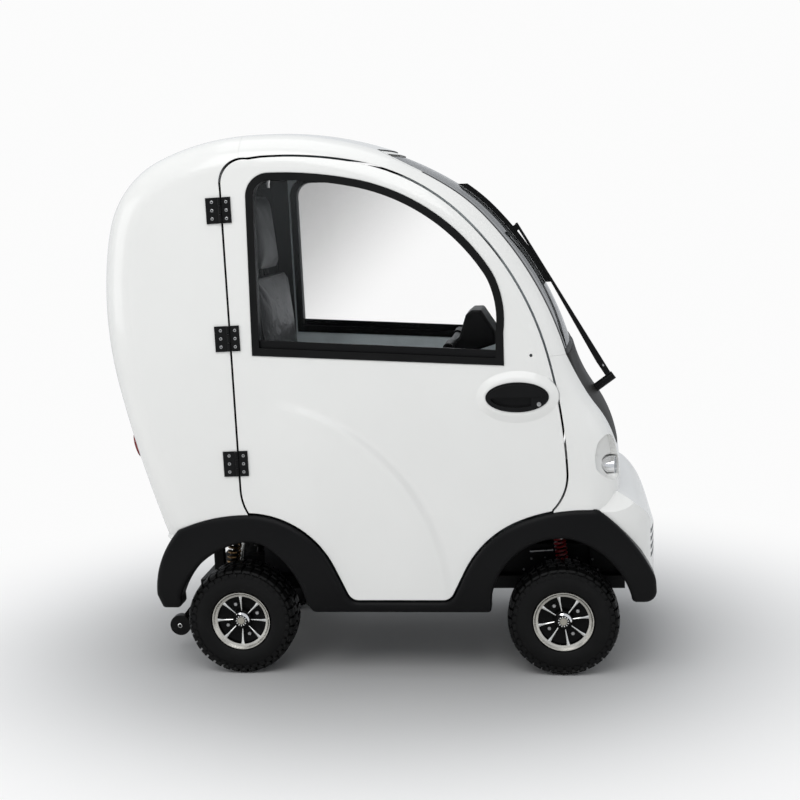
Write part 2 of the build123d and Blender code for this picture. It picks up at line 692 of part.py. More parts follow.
# Front axle beam with open yokes for the kingpins
beam = Pos(front_axle, 0, axle_height) * Box(40, 2 * (kingpin_half_track - 42), 46)
for side in (-1, 1):
    for level in (-52, 52):
        beam += Pos(front_axle, side * (kingpin_half_track - 19.5), axle_height + level) * Box(30, 65, 12)
    beam += Pos(front_axle, side * (kingpin_half_track - 46), axle_height) * Box(30, 12, 116)
    beam += Pos(front_axle, side * rail_half_track, (axle_height + rail_top - rail_height) / 2) * Box(
        40, 30, rail_top - rail_height - axle_height
    )
    beam -= Pos(front_axle, side * kingpin_half_track, axle_height) * Cylinder(kingpin_radius + shaft_clearance, 200)

# Spring struts


def strut(x_low, z_low, x_high, z_high, y, coil_radius):
    low = Vector(x_low, y, z_low)
    high = Vector(x_high, y, z_high)
    axis = Plane(origin=low, x_dir=(0, 1, 0), z_dir=high - low)
    reach = (high - low).length
    body_part = axis * Pos(0, 0, reach / 2) * Cylinder(9, reach)
    coil = axis * Pos(0, 0, reach * 0.55) * Cylinder(coil_radius, reach * 0.62)
    return (body_part + coil) & Pos(0, 0, deck_top - t - 1000) * Box(4000, 2000, 2000)


rear_struts = [strut(-75, 197, -36, deck_top, side * rear_strut_y, 21) for side in (-1, 1)]
front_struts = [strut(front_axle + 6, 180, front_axle - 10, deck_top, side * front_strut_y, 20) for side in (-1, 1)]
for side in (-1, 1):
    drive += Pos(-40, side * rear_strut_y, axle_height + 15) * Box(80, 30, 34)
for index in range(2):
    rear_struts[index] -= drive
    front_struts[index] -= beam

front_beam = beam


def knuckle(side):
    post = Cylinder(kingpin_radius, 130) + Cylinder(17, 88)
    piece = Pos(front_axle, side * kingpin_half_track, axle_height) * post
    stub_half = (hub_bore_end - kingpin_half_track) / 2
    stub = Pos(front_axle, side * (kingpin_half_track + stub_half), axle_height) * Rot(90, 0, 0)
    stub = stub * Cylinder(axle_radius, 2 * stub_half)
    flange = Pos(front_axle, side * (kingpin_half_track + 16), axle_height) * Rot(90, 0, 0) * Cylinder(24, 14)
    arm = Pos(front_axle - steering_arm / 2, side * kingpin_half_track, axle_height - steering_arm_drop) * Box(
        steering_arm, steering_arm_width, 12
    )
    boss = Pos(front_axle - steering_arm, side * kingpin_half_track, axle_height - steering_arm_drop)
    boss = boss * Cylinder(steering_arm_width / 2 + 2, 12)
    pin = Pos(front_axle - steering_arm, side * kingpin_half_track, tie_rod_z + 6) * Cylinder(tie_rod_pin_radius, 24)
    return piece + stub + flange + arm + boss + pin


tie_rod_z = axle_height - tie_rod_drop
knuckle_right = knuckle(-1)
rod_start = Pos(front_axle - steering_arm, 0, tie_rod_z)
tie_rod = rod_start * Rot(90, 0, 0) * Cylinder(5, 2 * kingpin_half_track)
for side in (-1, 1):
    tie_rod += rod_start * Pos(0, side * kingpin_half_track, 0) * Cylinder(tie_rod_eye_radius, 13)
tie_rod -= rod_start * Pos(0, -kingpin_half_track, 0) * Cylinder(tie_rod_pin_radius + shaft_clearance, 40)
tie_rod -= rod_start * Pos(0, kingpin_half_track, 0) * Cylinder(tie_rod_pin_radius + 5 * shaft_clearance, 40)

# Wheels: axis along Y, outer face towards -Y for the right side


def tyre():
    half = tyre_width / 2
    bead = rim_radius + layer_gap
    points = [(bead, -rim_width / 2 + 4), (bead + 16, -half + 6), (bead + 38, -half), (tyre_radius - 18, -half + 3)]
    points += [(tyre_radius, -half + 20), (tyre_radius, half - 20), (tyre_radius - 18, half - 3)]
    points += [(bead + 38, half), (bead + 16, half - 6), (bead, rim_width / 2 - 4)]
    face = Plane.XY * Polygon(*points, align=None)
    return revolve(face, Axis.Y)


def rim():
    half = rim_width / 2
    points = [(rim_radius + 4, -half - 4), (rim_radius + 4, -half), (rim_radius, -half), (rim_radius, -half + 18)]
    points += [(rim_well_radius, -half + 30), (rim_well_radius, half - 30), (rim_radius, half - 18)]
    points += [(rim_radius, half), (rim_radius + 4, half), (rim_radius + 4, half + 4), (rim_radius - 4, half + 4)]
    points += [(rim_radius - 4, half - 16), (rim_well_radius - 4, half - 28), (rim_well_radius - 4, -half + 28)]
    points += [(rim_radius - 4, -half + 16), (rim_radius - 4, -half - 4)]
    barrel = revolve(Plane.XY * Polygon(*points, align=None), Axis.Y)
    face_y = -half + rim_face_depth
    wheel = Pos(0, face_y + hub_depth / 2, 0) * Rot(90, 0, 0) * Cylinder(hub_radius, hub_depth)
    for index in range(spoke_count):
        blade = Pos((rim_radius + hub_radius) / 2 - 6, face_y + spoke_thickness / 2, 0) * Box(
            rim_radius - hub_radius + 4, spoke_thickness, spoke_width
        )
        wheel += Rot(0, index * 360 / spoke_count, 0) * blade
    wheel += barrel
    bore = Pos(0, face_y + hub_depth / 2 + hub_floor, 0) * Rot(90, 0, 0) * Cylinder(axle_radius + shaft_clearance, hub_depth)
    return wheel - bore


tyre_blank = tyre()
rim_blank = rim()
wheel_places = {"rear_right": (0, -1), "rear_left": (0, 1), "front_right": (front_axle, -1), "front_left": (front_axle, 1)}

# Anti-tip wheels behind the rear axle
tip_x = -245.0
tip_z = 92.0
tip_radius = 33.0
tip_y = 175.0
tip_bracket = Part()
for side in (-1, 1):
    arm_low = Vector(tip_x, side * (tip_y - 22), tip_z)
    arm_high = Vector(rail_rear + 20, side * (tip_y - 22), rail_top - 20)
    direction = arm_high - arm_low
    arm_plane = Plane(origin=arm_low, x_dir=(0, 1, 0), z_dir=direction)
    tip_bracket += arm_plane * Pos(0, 0, direction.length / 2) * Box(8, 26, direction.length + 20)
    tip_bracket += Pos(tip_x, side * (tip_y - 4), tip_z) * Rot(90, 0, 0) * Cylinder(5, 42)
tip_bracket += Pos(rail_rear - 6, 0, rail_top - 20) * Box(12, 2 * tip_y, 40)
tip_wheel = Pos(tip_x, -tip_y, tip_z) * Rot(90, 0, 0) * (Cylinder(tip_radius, 24) - Cylinder(5 + shaft_clearance, 30))

# Tail lamps and side markers
tail_lamp = Plane(origin=(-318, -215, 690), z_dir=(-1, -0.12, -0.25)) * Cylinder(38, 30)
tail_lamps = [tail_lamp, mirrored(tail_lamp)]
for lamp in tail_lamps:
    rear_shell -= lamp

# Wiper: spindle in the cowl, arm over the windscreen and a blade that follows the glass
arm_low = Vector(front_axle + 157, 0, 850)
arm_high = Vector(front_axle - 122, 0, 1324)
arm_plane = Plane(origin=arm_low, x_dir=(0, 1, 0), z_dir=arm_high - arm_low)
arm_reach = (arm_high - arm_low).length
wiper_arm = arm_plane * Pos(0, 0, arm_reach / 2) * Box(14, 8, arm_reach)
blade_band = middle_section(-8, 0) - middle_section(glass_inset - layer_gap, 0)
blade_reach = Pos(front_axle - 150, 0, 1295) * Box(600, 9, 310)
wiper_blade = across(blade_band, -4, 4) & blade_reach
blade_clip = arm_plane * Pos(0, 8, arm_reach - 12) * Box(12, 16, 20)
spindle_axis = Plane(origin=(front_axle + 122, 0, 812), z_dir=(0.5, 0, 0.36)) * Pos(0, 0, 21)
wiper = wiper_arm + wiper_blade + blade_clip + spindle_axis * Cylinder(13, 74)
spindle_hole = spindle_axis * Cylinder(13 + layer_gap, 90)
cowl -= spindle_hole

# The part's ends in side view
tail_end = min(shape.bounding_box().min.X for shape in (rear_shell, rear_seal, rear_glass))
nose_end = max(shape.bounding_box().max.X for shape in (front_shell, skirt_right))

single = {
    "rear_shell": rear_shell,
    "roof_frame": roof_frame,
    "front_shell": front_shell,
    "cowl": cowl,
    "windscreen": windscreen,
    "windscreen_seal": windscreen_seal,
    "rear_window": rear_glass,
    "rear_window_seal": rear_seal,
    "skirt_right": skirt_right,
    "skirt_left": mirrored(skirt_right),
    "headlamp_bowls": headlamp_bowls,
    "headlamp_lenses": headlamp_lenses,
    "tail_lamps": Compound(children=tail_lamps),
    "floor_pan": floor_pan,
    "chassis_frame": chassis_frame,
    "front_beam": front_beam,
    "drive_unit": drive,
    "battery": battery,
    "rear_struts": Compound(children=rear_struts),
    "front_struts": Compound(children=front_struts),
    "steering_tube": steering_tube,
    "anti_tip_bracket": tip_bracket,
    "seat_frame": seat_frame,
    "seat_cushion": cushion,
    "seat_back": seat_back,
    "wiper": wiper,
    "body_hinges": Compound(children=body_leaves + [mirrored(leaf) for leaf in body_leaves]),
    "tiller_shaft": tiller_shaft,
    "tiller_head": tiller_head,
    "tiller_grips": grips,
    "tie_rod": tie_rod,
    "knuckle_right": knuckle_right,
    "knuckle_left": mirrored(knuckle_right),
    "anti_tip_wheel_right": tip_wheel,
    "anti_tip_wheel_left": mirrored(tip_wheel),
}
for name, shape in single.items():
    export(shape, name)

door_pieces = {
    "door_panel": door_panel,
    "door_trim": door_trim,
    "window_frame": window_frame,
    "door_glass": door_glass,
    "door_handle": door_handle,
    "door_hinges": Compound(children=door_leaves),
}
for name, shape in door_pieces.items():
    export(shape, name + "_right")
    export(mirrored(shape), name + "_left")

for name, (x, side) in wheel_places.items():
    turn = Rot(0, 0, 0) if side < 0 else Rot(0, 0, 180)
    place = Pos(x, side * wheel_track_half, axle_height)
    export(place * turn * tyre_blank, "tyre_" + name)
    export(place * turn * rim_blank, "rim_" + name)
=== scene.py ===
import json
import math
import bmesh
import bpy
from mathutils import Matrix, Vector


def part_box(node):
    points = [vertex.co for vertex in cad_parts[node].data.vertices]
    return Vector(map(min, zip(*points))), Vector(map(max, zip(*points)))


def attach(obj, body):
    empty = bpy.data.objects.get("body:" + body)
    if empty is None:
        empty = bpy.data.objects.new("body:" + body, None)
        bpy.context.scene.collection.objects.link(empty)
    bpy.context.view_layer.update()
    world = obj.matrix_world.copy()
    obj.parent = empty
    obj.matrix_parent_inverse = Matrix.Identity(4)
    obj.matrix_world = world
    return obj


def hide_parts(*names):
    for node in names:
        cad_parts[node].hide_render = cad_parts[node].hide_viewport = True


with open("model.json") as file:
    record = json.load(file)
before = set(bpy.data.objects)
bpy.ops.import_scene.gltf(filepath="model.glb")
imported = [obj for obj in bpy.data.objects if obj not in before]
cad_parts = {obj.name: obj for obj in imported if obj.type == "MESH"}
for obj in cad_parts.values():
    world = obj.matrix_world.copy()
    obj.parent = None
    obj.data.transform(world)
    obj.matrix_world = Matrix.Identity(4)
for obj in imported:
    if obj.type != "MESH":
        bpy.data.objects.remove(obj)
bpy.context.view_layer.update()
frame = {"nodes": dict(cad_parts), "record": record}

# Enclosed mobility scooter: finishes, tyres with their tread, alloy wheels, springs, seat and fittings.
# Metres, +X to the front, +Z up, right side is -Y.

NODES = frame["nodes"]
SIDES = ("right", "left")
# How far each wheel has rolled, in degrees
WHEEL_TURNS = {"rear_right": 0, "rear_left": 20, "front_right": 10, "front_left": 33}


def side_sign(name):
    return -1 if "right" in name else 1


def centre(node):
    low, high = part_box(node)
    return (Vector(low) + Vector(high)) / 2


REAR_AXLE = centre("tyre_rear_right").x
FRONT_AXLE = centre("tyre_front_right").x
TYRE_RADIUS = (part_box("tyre_rear_right")[1][2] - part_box("tyre_rear_right")[0][2]) / 2
TYRE_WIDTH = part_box("tyre_rear_right")[1][1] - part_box("tyre_rear_right")[0][1]


# The doors' pressed line in side view: centre x and z, radius, width of the step, depth
CREASE = (REAR_AXLE + 0.009, 0.210, 0.655, 0.04, 0.012)
# Where the pressed line rises and falls away, from the rear axle
CREASE_FADES = ((0.10, 0.26), (0.72, 0.50))
# Points inside the cab and the nose, that tell the inner faces, with their liner colour and painted shade,
# from the outer skin
CAB_MIDDLE = (REAR_AXLE + 0.25, 0, 0.95)
NOSE_MIDDLE = (FRONT_AXLE + 0.01, 0, 0.60)
# The body's sides lean in above their foot
SIDE_FOOT = 0.560
SIDE_FROM_MIDDLE = 0.375
SIDE_SLOPE = math.tan(math.radians(2.85))


def side_face(height, inset=0.0):
    """Distance of the body's side from the middle plane at a height."""
    return SIDE_FROM_MIDDLE - (height - SIDE_FOOT) * SIDE_SLOPE - inset


# Shader nodes: short calls for what repeats


def feed(tree, node, inputs):
    """Sets or links a node's inputs, each given by its name or number."""
    for key, value in inputs.items():
        if isinstance(value, bpy.types.NodeSocket):
            tree.links.new(value, node.inputs[key])
        else:
            node.inputs[key].default_value = value


def add_node(tree, kind, inputs=None):
    node = tree.nodes.new("ShaderNode" + kind)
    feed(tree, node, inputs or {})
    return node


def number(tree, operation, *values):
    """Result of one operation on numbers."""
    node = add_node(tree, "Math")
    node.operation = operation
    feed(tree, node, dict(enumerate(values)))
    return node.outputs["Value"]


def vector(tree, operation, *values):
    """Both outputs, "Vector" and "Value", of one operation on vectors."""
    node = add_node(tree, "VectorMath")
    node.operation = operation
    feed(tree, node, dict(enumerate(values)))
    return node.outputs


def ranged(tree, value, start=0.0, end=1.0, low=0.0, high=1.0, shape="LINEAR"):
    """Value between start and end, brought to between low and high."""
    node = add_node(tree, "MapRange")
    node.interpolation_type = shape
    feed(tree, node, {"Value": value, "From Min": start, "From Max": end, "To Min": low, "To Max": high})
    return node.outputs["Result"]


def mix_colors(tree, share, first, second):
    """First colour where share is 0, second where it is 1."""
    node = add_node(tree, "Mix")
    node.data_type = "RGBA"
    feed(tree, node, {0: share, 6: first, 7: second})
    return node.outputs[2]


def noise(tree, place, scale, detail=2.0, ridges=None):
    """Height of a noise; ridges is the distortion of a ridged one."""
    node = add_node(tree, "TexNoise")
    if ridges is not None:
        node.noise_type = "RIDGED_MULTIFRACTAL"
        node.inputs["Distortion"].default_value = ridges
    feed(tree, node, {"Vector": place["Object"], "Scale": scale, "Detail": detail})
    return node.outputs["Fac"]


def bump(tree, height, distance, before):
    """Normal of a bump in metres, over the normal that comes before it."""
    node = add_node(tree, "Bump", {"Height": height, "Strength": 1.0, "Distance": distance})
    if before is not None:
        feed(tree, node, {"Normal": before})
    return node.outputs["Normal"]


def axis_of(tree, place, axis):
    return add_node(tree, "SeparateXYZ", {0: place["Object"]}).outputs[axis]


def source(shader, name):
    return shader.inputs[name].links[0].from_socket


def new_material(name):
    """Material, its node tree, its shader and its texture coordinates."""
    material = bpy.data.materials.new(name)
    material.use_nodes = True
    tree = material.node_tree
    return material, tree, tree.nodes["Principled BSDF"], add_node(tree, "TexCoord").outputs


def finish(name, color, roughness=0.5, metallic=0.0, coat=0.0, tint=0.06, tint_scale=6.0, bumps=(),
           spread=0.08, specular=0.5, edge=0.0, crease=None, liner_and_shade=None, inside_from=CAB_MIDDLE,
           inside_below=9.0, wrap=0.0):
    """Principled surface whose colour, roughness and bump vary by noise in the object's own metres.

    bumps holds rows of (scale, distance in metres, kind), kind being "noise" or "cells". edge is the radius
    that softens the edges, and crease adds the pressed line of the doors. liner_and_shade is the colour of the
    faces that look towards the point inside_from and lie below inside_below: a grey-blue liner on the roof,
    and near-black painted shade on the inner faces of the rear shell, the nose and the doors. wrap is the
    depth of the folds of a clear film over the surface.
    """
    material, tree, shader, place = new_material(name)
    shades = noise(tree, place, tint_scale, 5.0)
    ramp = add_node(tree, "ValToRGB", {"Fac": shades})
    darker = tuple(c * (1 - tint) for c in color)
    for element, position, tone in zip(ramp.color_ramp.elements, (0.35, 0.65), (darker, color)):
        element.position = position
        element.color = (*tone, 1)
    rough = ranged(tree, shades, low=max(0.02, roughness - spread), high=min(1.0, roughness + spread))
    feed(tree, shader, {"Base Color": ramp.outputs["Color"], "Roughness": rough, "Metallic": metallic,
                        "Specular IOR Level": specular, "Coat Weight": coat, "Coat Roughness": 0.06})
    if liner_and_shade:
        liner_and_shade_inside(tree, place, shader, liner_and_shade, coat, inside_from, inside_below)
    if wrap:
        wrap_film(tree, place, shader, wrap)
    normal = None
    if edge:
        bevel = add_node(tree, "Bevel", {"Radius": edge})
        bevel.samples = 6
        normal = bevel.outputs["Normal"]
    if crease:
        normal = crease_bump(tree, place, normal, *crease)
    for scale, distance, kind in bumps:
        if kind == "cells":
            cells = add_node(tree, "TexVoronoi", {"Vector": place["Object"], "Scale": scale})
            height = cells.outputs["Distance"]
        else:
            height = noise(tree, place, scale, 3.0)
        normal = bump(tree, height, distance, normal)
    if normal is not None:
        feed(tree, shader, {"Normal": normal})
    return material


def crease_bump(tree, place, before, centre_x, centre_z, radius, width, depth):
    """Soft pressed step along an arc of the side view, strongest at the arc's middle."""
    flat = vector(tree, "MULTIPLY", place["Object"], (1, 0, 1))["Vector"]
    reach = vector(tree, "DISTANCE", flat, (centre_x, 0, centre_z))["Value"]
    height = ranged(tree, reach, radius - width, radius, 1.0, 0.0, "SMOOTHERSTEP")
    along = axis_of(tree, place, "X")
    for start, end in CREASE_FADES:
        fade = ranged(tree, along, REAR_AXLE + start, REAR_AXLE + end, shape="SMOOTHSTEP")
        height = number(tree, "MULTIPLY", height, fade)
    return bump(tree, height, depth, before)


def liner_and_shade_inside(tree, place, shader, color, coat, middle, top):
    """Gives the faces that look towards a middle point their own colour, without the gloss coat:
    a grey-blue liner on the roof, and near-black painted shade in the rear shell, the nose and the doors.
    """
    offset = vector(tree, "SUBTRACT", place["Object"], middle)["Vector"]
    facing = vector(tree, "DOT_PRODUCT", place["Normal"], offset)["Value"]
    outward = number(tree, "GREATER_THAN", facing, 0.0)
    over = number(tree, "GREATER_THAN", axis_of(tree, place, "Z"), top)
    outside = number(tree, "MAXIMUM", outward, over)
    feed(tree, shader, {"Base Color": mix_colors(tree, outside, (*color, 1), source(shader, "Base Color")),
                        "Coat Weight": number(tree, "MULTIPLY", outside, coat)})


def wrap_film(tree, place, shader, depth):
    """Clear film with crumpled folds, as the surface's own coat."""
    folds = None
    for scale, share in ((13.0, 1.0), (38.0, 0.35)):
        folds = bump(tree, noise(tree, place, scale, ridges=0.6), depth * share, folds)
    feed(tree, shader, {"Coat Weight": 0.25, "Coat Roughness": 0.12, "Coat Normal": folds})


def zone(material, axis, limit, above, color, alpha=None):
    """Colours the part of a finish beyond a limit along X, Y or Z, or along Y to both sides ("side")."""
    tree = material.node_tree
    shader = tree.nodes["Principled BSDF"]
    place = add_node(tree, "TexCoord").outputs
    value = axis_of(tree, place, "Y" if axis == "side" else axis)
    if axis == "side":
        value = number(tree, "ABSOLUTE", value)
    beyond = number(tree, "GREATER_THAN" if above else "LESS_THAN", value, limit)
    base = shader.inputs["Base Color"]
    own = source(shader, "Base Color") if base.is_linked else tuple(base.default_value)
    feed(tree, shader, {"Base Color": mix_colors(tree, beyond, own, (*color, 1))})
    if alpha is not None:
        cover = add_node(tree, "Mix")
        cover.data_type = "FLOAT"
        feed(tree, cover, {0: beyond, 2: source(shader, "Alpha"), 3: alpha})
        feed(tree, shader, {"Alpha": cover.outputs[0]})


def pane(name, alpha, edge_alpha, rear_shade=0.0):
    """Thin glass: a weak dark gloss layer that grows at grazing angles, and painted shade towards its rear
    top.
    """
    material, tree, shader, place = new_material(name)
    facing = add_node(tree, "LayerWeight", {"Blend": 0.25}).outputs["Facing"]
    cover = ranged(tree, facing, low=alpha, high=edge_alpha)
    # The glass darkens towards its rear top: painted shade of the dim cab seen through it.
    if rear_shade:
        rise = vector(tree, "DOT_PRODUCT", place["Object"], SHADE_AXIS)["Value"]
        shade_cover = ranged(tree, rise, SHADE_FROM, SHADE_TO, 0.0, rear_shade, "SMOOTHSTEP")
        cover = number(tree, "ADD", cover, shade_cover)
    feed(tree, shader, {"Base Color": (0.012, 0.015, 0.015, 1), "Specular IOR Level": 1.0, "Alpha": cover,
                        "Roughness": ranged(tree, noise(tree, place, 4.0), low=0.02, high=0.05)})
    return material


def lens(name, color, roughness, alpha):
    """Thin clear cover: it lets light straight through and keeps its mirror gloss."""
    material, tree, shader, place = new_material(name)
    rough = ranged(tree, noise(tree, place, 60.0), low=roughness, high=roughness + 0.04)
    feed(tree, shader, {"Base Color": (*color, 1), "Specular IOR Level": 0.6, "Alpha": alpha,
                        "Roughness": rough})
    return material


# Finishes

PAINT = (0.775, 0.77, 0.745)
DARK = (0.0028, 0.0028, 0.0028)
UPHOLSTERY = (0.0075, 0.0075, 0.008)
BAND_FROM_MIDDLE = 0.235
SEAL_PAINTED_ABOVE = 1.485
TRIM_DARK_BEHIND = REAR_AXLE + 0.074
# Painted shade on the side glass: the direction in which it thickens, and where along it that starts and ends
SHADE_AXIS = (-0.75, 0, 0.75)
SHADE_FROM = 0.82
SHADE_TO = 1.36
GELCOAT = dict(roughness=0.2, coat=0.5, tint=0.025, tint_scale=2.5, spread=0.04, specular=0.35, edge=0.003,
               bumps=[(5.0, 0.0005, "noise"), (160.0, 0.00001, "noise")])
SOFT_BLACK = dict(tint=0.4, tint_scale=14.0, bumps=[(600.0, 0.00005, "noise")], specular=0.16)
LEATHER = dict(tint=0.3, tint_scale=12.0, bumps=[(520.0, 0.00012, "cells")], specular=0.35)
WHITE = finish("white_gelcoat", PAINT, **GELCOAT)
# The inner faces of the rear shell, the nose and the doors are near black: painted shade inside the cab, the
# nose and the door gaps. The roof's inner faces get a grey-blue liner.
SHELL_WHITE = finish("white_gelcoat_shell", PAINT, liner_and_shade=(0.006, 0.006, 0.006), **GELCOAT)
ROOF_WHITE = finish("white_gelcoat_roof", PAINT, liner_and_shade=(0.085, 0.10, 0.105), **GELCOAT)
FRONT_WHITE = finish("white_gelcoat_front", PAINT, liner_and_shade=(0.003, 0.003, 0.003), inside_from=NOSE_MIDDLE,
                     inside_below=0.43, **GELCOAT)
DOOR_WHITE = finish("white_gelcoat_door", PAINT, crease=CREASE, liner_and_shade=(0.01, 0.011, 0.011), **GELCOAT)
BLACK = finish("black_moulding", (0.0032, 0.0032, 0.0035), 0.36, tint=0.4, tint_scale=9.0,
               bumps=[(900.0, 0.00004, "noise")], specular=0.16, edge=0.0012)
COWL = finish("cowl_black", (0.0075, 0.0065, 0.0042), 0.45, tint=0.4, tint_scale=5.0,
              bumps=[(1100.0, 0.00004, "cells")], specular=0.08)
SKIRT = finish("skirt_plastic", (0.0028, 0.0028, 0.0031), 0.34, tint=0.3, tint_scale=4.0,
               bumps=[(1300.0, 0.00004, "cells")], specular=0.13, edge=0.02)
RUBBER = finish("black_rubber", DARK, 0.42, **SOFT_BLACK)
SEAL = finish("screen_seal", DARK, 0.42, **SOFT_BLACK)
zone(SEAL, "Z", SEAL_PAINTED_ABOVE, True, PAINT)
TYRE = finish("tyre_rubber", DARK, 0.5, tint=0.5, tint_scale=22.0, bumps=[(420.0, 0.0001, "noise")],
              specular=0.17, edge=0.0012)
ALLOY = finish("machined_alloy", (0.62, 0.60, 0.55), 0.28, metallic=1.0, tint=0.08, tint_scale=60.0,
               bumps=[(900.0, 0.00001, "noise")])
SPOKE = finish("bright_spoke", (0.80, 0.80, 0.78), 0.22, metallic=1.0, tint=0.08, tint_scale=60.0)
CHROME = finish("bright_metal", (0.85, 0.85, 0.86), 0.08, metallic=1.0, tint=0.05, tint_scale=40.0)
NUT = finish("plated_nut", (0.42, 0.42, 0.42), 0.3, metallic=1.0, tint=0.2, tint_scale=120.0)
GREY_CAP = finish("cap_grey", (0.36, 0.34, 0.29), 0.45, metallic=0.3, tint=0.1, tint_scale=80.0)
POCKET = finish("rim_black", (0.002, 0.002, 0.002), 0.4, tint=0.3, tint_scale=30.0, specular=0.1)
STEEL = finish("black_steel", (0.0028, 0.0028, 0.003), 0.45, tint=0.4, tint_scale=18.0,
               bumps=[(260.0, 0.00006, "noise")], specular=0.15)
CAST = finish("cast_grey", (0.03, 0.03, 0.032), 0.55, metallic=0.4, tint=0.3, tint_scale=25.0,
              bumps=[(500.0, 0.0001, "noise")])
BRONZE = finish("bronze_spring", (0.26, 0.16, 0.07), 0.22, metallic=0.8, tint=0.5, tint_scale=60.0)
RED = finish("red_spring", (0.24, 0.006, 0.01), 0.35, tint=0.3, tint_scale=60.0)
DAMPER = finish("bright_damper", (0.72, 0.72, 0.70), 0.22, metallic=0.9, tint=0.15, tint_scale=50.0)
# The trim's grey-blue is lifted close to white: painted light that makes up for the dim cab behind the glass.
TRIM = finish("trim_blue_grey", (0.78, 0.86, 0.87), 0.4, tint=0.22, tint_scale=7.0,
              bumps=[(800.0, 0.00003, "cells")], specular=0.4)
zone(TRIM, "X", TRIM_DARK_BEHIND, False, (0.004, 0.004, 0.004))
CARPET = finish("floor_mat", (0.02, 0.021, 0.022), 0.8, tint=0.3, tint_scale=40.0,
                bumps=[(500.0, 0.0003, "cells")])
VINYL = finish("seat_vinyl", UPHOLSTERY, 0.42, **LEATHER)
WRAPPED = finish("wrapped_vinyl", UPHOLSTERY, 0.42, wrap=0.022, **LEATHER)
BATTERY = finish("battery_case", (0.012, 0.012, 0.014), 0.5, tint=0.2, tint_scale=20.0,
                 bumps=[(700.0, 0.00003, "noise")])
RED_LENS = finish("red_lens", (0.20, 0.004, 0.004), 0.12, coat=0.8, tint=0.3, tint_scale=50.0,
                  bumps=[(260.0, 0.0003, "cells")])
SIDE_GLASS = pane("side_glass", 0.004, 0.22, rear_shade=0.22)
GLASS = pane("screen_glass", 0.02, 0.95)
zone(GLASS, "side", BAND_FROM_MIDDLE, True, (0.003, 0.003, 0.003), 1.0)
REAR_GLASS = pane("rear_glass", 0.5, 0.8)
LENS = lens("lamp_lens", (0.85, 0.87, 0.88), 0.03, 0.3)

SLOT_FINISH = {
    "white_body": WHITE, "black_plastic": BLACK, "clear_glass": SIDE_GLASS, "black_rubber": RUBBER,
    "skirt_black": SKIRT, "lamp_chrome": CHROME, "lamp_glass": LENS, "red_lens": RED_LENS,
    "floor_grey": CARPET, "black_steel": STEEL, "cast_grey": CAST, "battery_case": BATTERY,
    "spring_bronze": BRONZE, "spring_red": RED, "seat_vinyl": VINYL, "hinge_black": BLACK,
    "trim_grey": TRIM, "tyre_rubber": TYRE, "alloy": ALLOY,
}
NODE_FINISH = {
    "door_panel_right": DOOR_WHITE, "door_panel_left": DOOR_WHITE, "cowl": COWL, "windscreen": GLASS,
    "rear_window": REAR_GLASS, "window_frame_right": RUBBER, "window_frame_left": RUBBER,
    "rear_shell": SHELL_WHITE, "front_shell": FRONT_WHITE, "roof_frame": ROOF_WHITE, "windscreen_seal": SEAL,
}


def dress_nodes():
    for row in frame["record"]["subparts"]:
        node = NODES[row["node"]]
        material = NODE_FINISH.get(row["node"]) or SLOT_FINISH[row["material_slot"]]
        if node.material_slots:
            for slot in node.material_slots:
                slot.material = material
        else:
            node.data.materials.append(material)


# Mesh helpers


def add_piece(name, shape, body, materials, smooth_angle=40):
    """Turns a shape into a piece that rides on a body and carries the given materials."""
    mesh = shape.mesh(name)
    piece = bpy.data.objects.new(name, mesh)
    bpy.context.scene.collection.objects.link(piece)
    for material in materials:
        mesh.materials.append(material)
    mesh.shade_smooth()
    mesh.set_sharp_from_angle(angle=math.radians(smooth_angle))
    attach(piece, body)
    return piece


def turned(profile, steps):
    """Points of a profile of (radius, height) at each step about local Z."""
    points = []
    for step in range(steps):
        angle = 2 * math.pi * step / steps
        points += [(radius * math.cos(angle), radius * math.sin(angle), height) for radius, height in profile]
    return points


